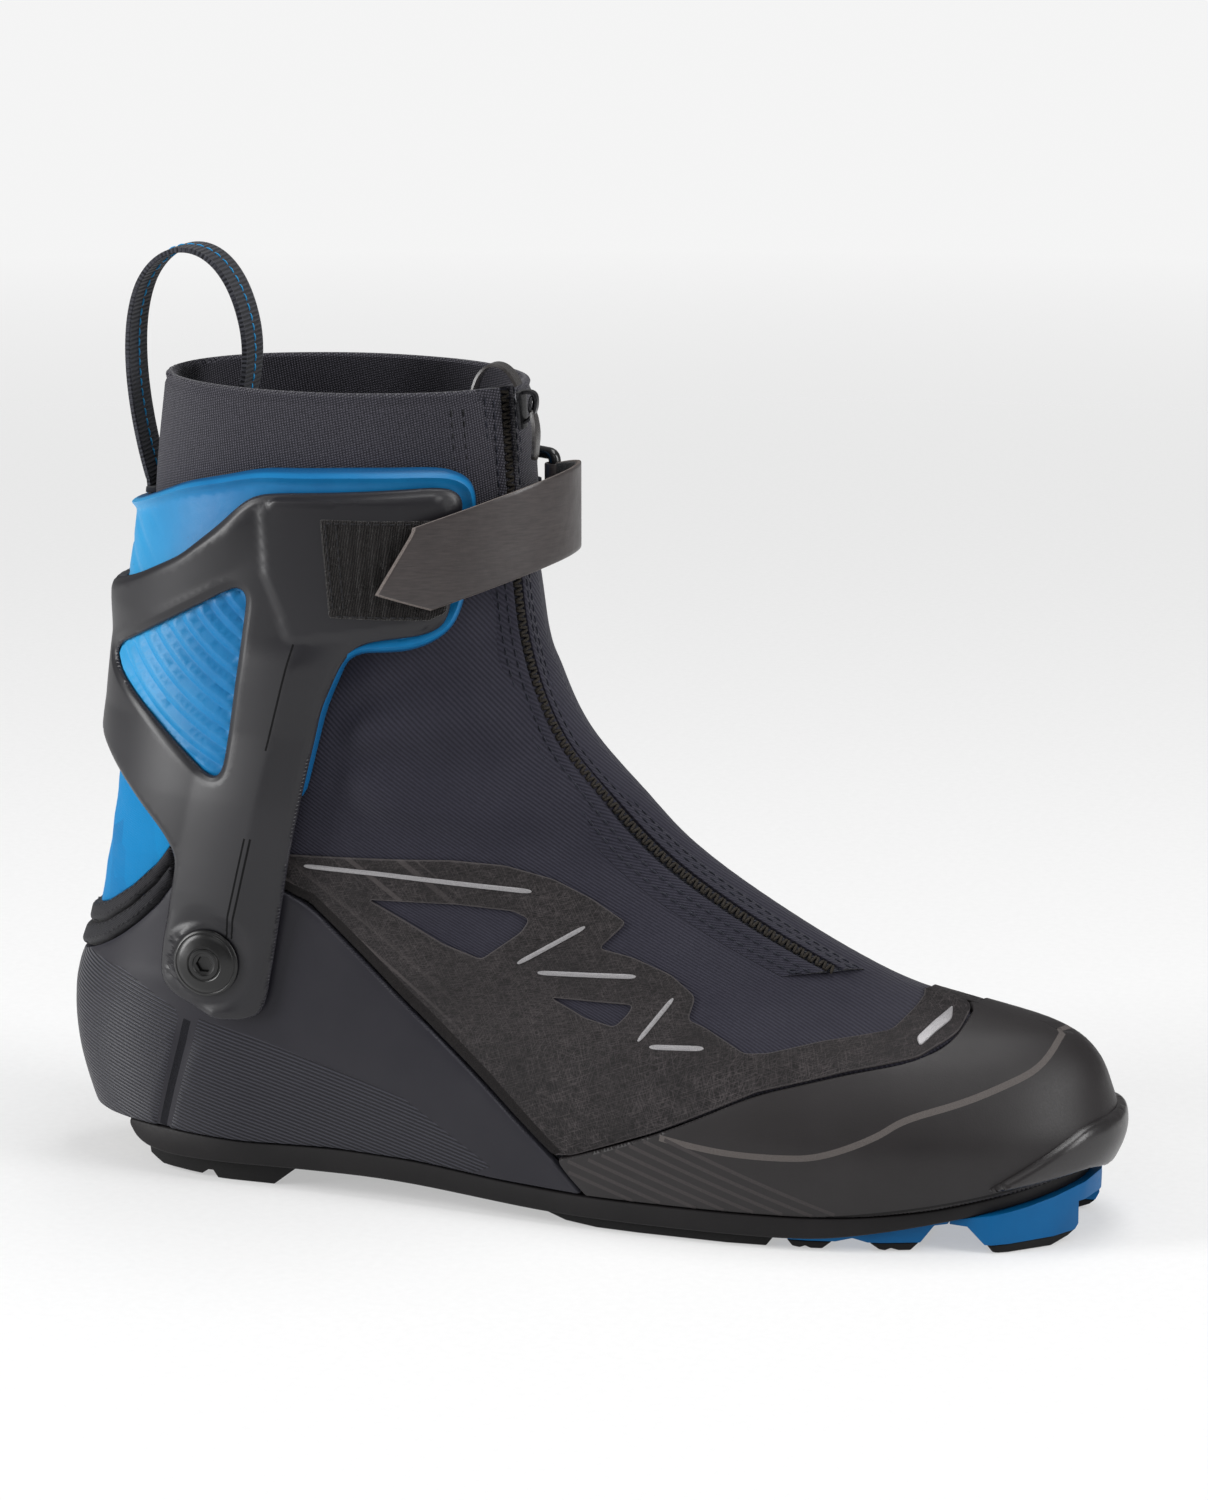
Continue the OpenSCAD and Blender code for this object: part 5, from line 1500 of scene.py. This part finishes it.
def make_strap():
    first = bezier([101, -46.6], [128, -36.4], [144.6, -20], STRAP_FRONT, 60)
    second = bezier(STRAP_FRONT, [144.6, 11], [138.5, 22.5], RING_AT, 44)[1:]
    plan = np.concatenate([first, second])
    at = run_along(plan)
    ahead = np.gradient(plan, axis=0)
    normal = np.stack([ahead[:, 1], -ahead[:, 0]], -1) / np.linalg.norm(ahead, axis=1)[:, None]
    half, n, thick = STRAP_W / 2, 110, 0.86
    heights = np.concatenate([[-half, -half + 0.12, -half + 0.45], np.linspace(-half + 1.2, half - 1.2, 17),
                              [half - 0.45, half - 0.12, half]])
    squeeze = np.array([0.45, 0.8, 0.97] + [1.0] * 17 + [0.97, 0.8, 0.45])
    layers, cloth = [], []
    for way in (1, -1):
        for h, t in zip(heights, squeeze):
            start = np.interp(strap_tip_x(h), plan[:60, 0], at[:60])
            s = start + (at[-1] - start) * np.linspace(0, 1, n)
            p, q = point_at(s, at, plan), point_at(s, at, normal)
            ripple = 0.22 * np.sin(s / 9.0 + h / 7.0) * np.exp(-((s - 20) / 26) ** 2)
            end = np.interp(s - start, [0, 0.3, 0.9], [0.5, 0.85, 1.0])
            p = p + q * np.reshape(way * thick * t * end + ripple, (-1, 1))
            z = STRAP_MID[1] + (p[:, 0] - STRAP_MID[0]) * STRAP_RISE + h
            layers.append(np.column_stack([p, z]))
            cloth.append(np.column_stack([s, np.full(n, h), s * 0]))
    m = len(heights)
    order = list(range(m)) + [2 * m - 1 - k for k in range(m)]
    faces, look_of = [], []
    for k in range(2 * m):
        a, b = order[k], order[(k + 1) % (2 * m)]
        rough = {a % m, b % m} <= {0, 1} or {a % m, b % m} <= {m - 1, m - 2}
        for i in range(n - 1):
            faces.append((a * n + i, a * n + i + 1, b * n + i + 1, b * n + i))
            look_of.append(1 if rough or i == 0 else (2 if a >= m else 0))
    for i, tag in ((0, 1), (n - 1, 1)):
        for k in range(m - 1):
            faces.append((k * n + i, (k + 1) * n + i, (m + k + 1) * n + i, (m + k) * n + i))
            look_of.append(tag)
    band = build("strap_band", np.concatenate(layers), faces, [STRAP, STRAP_CUT, STRAP_BACK], look_of,
                 np.concatenate(cloth), None, 45)
    turned_out(band)

    end_z = STRAP_MID[1] - half + (RING_AT[0] - STRAP_MID[0]) * STRAP_RISE
    around = np.arange(40) * 2 * math.pi / 40
    eye = np.column_stack([RING_AT[0] + 2.38 * np.cos(around), RING_AT[1] + 2.38 * np.sin(around),
                           np.full(40, end_z + half)])
    out = np.column_stack([np.cos(around), np.sin(around), around * 0])
    profile = [(-half, -0.3), (-half + 0.3, -0.5), (half - 0.3, -0.5), (half, -0.3), (half, 0.3),
               (half - 0.3, 0.5), (-half + 0.3, 0.5), (-half, 0.3)]
    fold = sweep("strap_fold", eye, np.tile([0, 0, 1.0], (40, 1)), out, profile,
                 [STRAP, STRAP_CUT, STRAP_BACK], True)
    placed(joined("strap_shape", [band, fold]), "strap", "strap_pu", "strap")
    placed(bevelled("strap_hook", HOOKS, 0.15, 2), "strap", "hook_tape", "strap_hook")

    rows = []
    for x in (6.5, 9.0):
        s = np.full(24, at[-1] - x)
        h = np.linspace(-half + 1.5, half - 1.5, 24)
        q = point_at(s, at, normal)
        p = point_at(s, at, plan) + q * 0.9
        z = STRAP_MID[1] + (p[:, 0] - STRAP_MID[0]) * STRAP_RISE + h
        rows.append((np.column_stack([p, z]), np.column_stack([q, h * 0])))
    placed(stitches("strap_stitches", rows, THREAD_GREY, 1.9, 0.8, 0.22), "strap", "strap_pu")

    low, high = end_z - 2.4, end_z + STRAP_W + 2.4
    corner, flat = 1.6, np.array([RING_BACK - RING_AT])[0]
    length = np.linalg.norm(flat)
    corners = np.array([[0, low], [length, low], [length, high], [0, high]], float)
    loop = even(np.vstack([rounded(corners, corner * 1.4), rounded(corners, corner * 1.4)[:1]]), 0.7)[:-1]
    path = np.column_stack([RING_AT[0] + flat[0] / length * loop[:, 0],
                            RING_AT[1] + flat[1] / length * loop[:, 0], loop[:, 1]])
    plane = np.cross(np.append(flat, 0) / length, (0, 0, 1.0))
    across, out = directions(path, plane, closed=True)
    ring = sweep("strap_ring_shape", path, across, out, ring_profile(1.72, 16), [RING], True)
    placed(ring, "strap_ring", "ring_plastic", "strap_ring")


def make_ring_tab():
    """Webbing that lies on the plate and turns round the back bar of the ring."""
    out = 5.2 + FRAME_T + 0.72
    z = np.full(26, 184.0)
    base = trace([[98.4, 184], [RING_BACK[0] - 1.2, 184]], MEDIAL, out, 0.8)[0]
    away = np.append(RING_BACK, 184.0)
    first = math.atan2(base[-1][1] - away[1], base[-1][0] - away[0])
    turn = first - np.linspace(0.35, 5.2, 26)
    wrap = np.column_stack([away[0] + 2.4 * np.cos(turn), away[1] + 2.4 * np.sin(turn), z])
    path = even(np.vstack([base, wrap]), 0.8)
    across = np.tile([0, 0, 1.0], (len(path), 1))
    out_dir = np.cross(np.gradient(path, axis=0), across)
    out_dir /= np.linalg.norm(out_dir, axis=1, keepdims=True)
    tab = sweep("ring_tab_shape", path, across, out_dir, band_profile(13.8, 1.0, 0.3), [WEBBING])
    placed(tab, "cuff", "webbing_black", "ring_tab")
    corners = [[101, 178.8], [101, 189.2], [115, 189.2], [115, 178.8], [101, 178.8], [115, 189.2]]
    rows = [trace(corners, MEDIAL, 5.2 + FRAME_T + 1.28)]
    placed(stitches("ring_tab_stitches", rows, THREAD_GREY, 1.6, 0.7, 0.22), "cuff", "webbing_black")


# ---- Pull loop -------------------------------------------------------------------------------

LOOP_PATH = np.concatenate([bezier([23.9, 193], [20, 206], [15, 232], [22, 247], 40),
                            bezier([22, 247], [29, 261], [46, 261], [51.5, 238], 50)[1:],
                            bezier([51.5, 238], [55, 224], [50, 206], [36.8, 193], 44)[1:]])


def make_pull_loop():
    path = even(LOOP_PATH, 1.0)
    path = np.column_stack([path[:, 0], path[:, 0] * 0, path[:, 1]])
    across = np.tile([0, 1.0, 0], (len(path), 1))
    out = np.cross(np.gradient(path, axis=0), across)
    out /= np.linalg.norm(out, axis=1, keepdims=True)
    loop = sweep("pull_loop_shape", path, across, out, band_profile(14, 1.4, 0.4, 0.06), [WEBBING])
    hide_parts("pull_loop")
    placed(loop, "pull_loop", "webbing_black")
    root = np.column_stack([np.linspace(24.8, 23.9, 12), np.zeros(12), np.linspace(184.8, 193.0, 12)])
    root_out = np.tile([-1.0, 0, 0], (12, 1))
    sewn = sweep("pull_loop_root", root, across[:12], root_out, band_profile(13.6, 1.3, 0.4, 0.06),
                 [WEBBING])
    placed(sewn, "cuff", "webbing_black")
    rows = [(path[2:-2] + out[2:-2] * way * 0.78, out[2:-2] * way) for way in (1, -1)]
    placed(stitches("pull_loop_stitches", rows, THREAD_BLUE, 2.3, 0.5, 0.26), "pull_loop",
           "webbing_black")
    placed(bevelled("pull_loop_tabs", WEBBING, 0.25, 2), "cuff", "webbing_black", "pull_loop_tabs")


# ---- Camera, light and floor -------------------------------------------------------------------

TARGET = Vector((0.0033, 0.00165, 0.123))
AZIMUTH, ELEVATION, DISTANCE = math.radians(16.5), math.radians(13), 1.5


def make_camera():
    back = Vector((math.sin(AZIMUTH) * math.cos(ELEVATION), -math.cos(AZIMUTH) * math.cos(ELEVATION),
                   math.sin(ELEVATION)))
    camera = bpy.data.objects.new("camera", bpy.data.cameras.new("camera"))
    bpy.context.collection.objects.link(camera)
    camera.location = TARGET + back * DISTANCE
    camera.rotation_euler = back.to_track_quat("Z", "Y").to_euler()
    camera.data.lens = 131.76
    camera.data.sensor_width = 36
    camera.data.clip_end = 20
    bpy.context.scene.camera = camera


def soft_light(name, direction, distance, size, power):
    light = bpy.data.lights.new(name, "AREA")
    light.shape = "RECTANGLE"
    light.size, light.size_y = size
    light.energy = power
    lamp = bpy.data.objects.new(name, light)
    bpy.context.collection.objects.link(lamp)
    way = Vector(direction).normalized()
    lamp.location = Vector((0, 0, 0.11)) + way * distance
    lamp.rotation_euler = way.to_track_quat("Z", "Y").to_euler()


def make_stage():
    """Pale round floor that fades at its rim into the colour of the background."""
    radii, steps = (0.3, 0.6, 1.0, 1.5, 2.2), 64
    points = [(x, y, -0.0002) for r in radii for x, y in circle((0, 0), r, steps)]
    faces = [(k * steps + i, (k + 1) * steps + i, (k + 1) * steps + (i + 1) % steps,
              k * steps + (i + 1) % steps) for k in range(len(radii) - 1) for i in range(steps)]
    mesh = bpy.data.meshes.new("floor")
    mesh.from_pydata(points, [], [tuple(range(steps))] + faces)
    floor = bpy.data.objects.new("floor", mesh)
    bpy.context.collection.objects.link(floor)
    look = Look("paper")
    fibres = look.noise(0.4, 3)
    look.done(look.mix(look.span(fibres, 0.3, 0.7), "b4b4b4", "b8b8b8"), 0.9,
              look.bump(fibres, 0.02, 0.1), specular=0.1)
    look.surface.inputs["Emission Color"].default_value = colour("f5f5f5")
    look.surface.inputs["Emission Strength"].default_value = 0.47
    away = look.math("ADD", look.math("MULTIPLY", look.x, look.x), look.math("MULTIPLY", look.y, look.y))
    look.feed(look.surface.inputs["Alpha"], look.span(look.math("POWER", away, 0.5), 550, 1900, 1, 0))
    mesh.materials.append(look.material)


def make_light():
    world = bpy.data.worlds.new("studio")
    bpy.context.scene.world = world
    world.use_nodes = True
    back = world.node_tree.nodes["Background"]
    back.inputs[0].default_value = (0.9, 0.9, 0.9, 1)
    seen = world.node_tree.nodes.new("ShaderNodeLightPath").outputs["Is Camera Ray"]
    strength = world.node_tree.nodes.new("ShaderNodeMath")
    strength.operation = "MULTIPLY_ADD"
    lighting, added_when_seen = 0.24, 0.77
    strength.inputs[1].default_value = added_when_seen
    strength.inputs[2].default_value = lighting
    world.node_tree.links.new(seen, strength.inputs[0])
    world.node_tree.links.new(strength.outputs[0], back.inputs[1])
    soft_light("left", (-0.9, -0.5, 0.3), 1.5, (0.5, 1.2), 22)
    soft_light("right", (1.0, -0.2, 0.5), 1.6, (0.5, 1.2), 15)
    soft_light("top", (0.15, 0.05, 1.0), 1.6, (1.4, 0.6), 14)
    soft_light("front", (0.1, -1.0, 0.8), 2.0, (1.2, 0.6), 2.5)
    bpy.context.scene.view_settings.view_transform = "Standard"


make_camera()
make_sole()
make_heel_shell()
make_toe()
make_upper()
make_heel_bands()
make_inside()
make_collar()
make_zip()
make_slider()
make_cuff()
make_patch()
make_strap()
make_ring_tab()
make_pull_loop()
make_stage()
make_light()
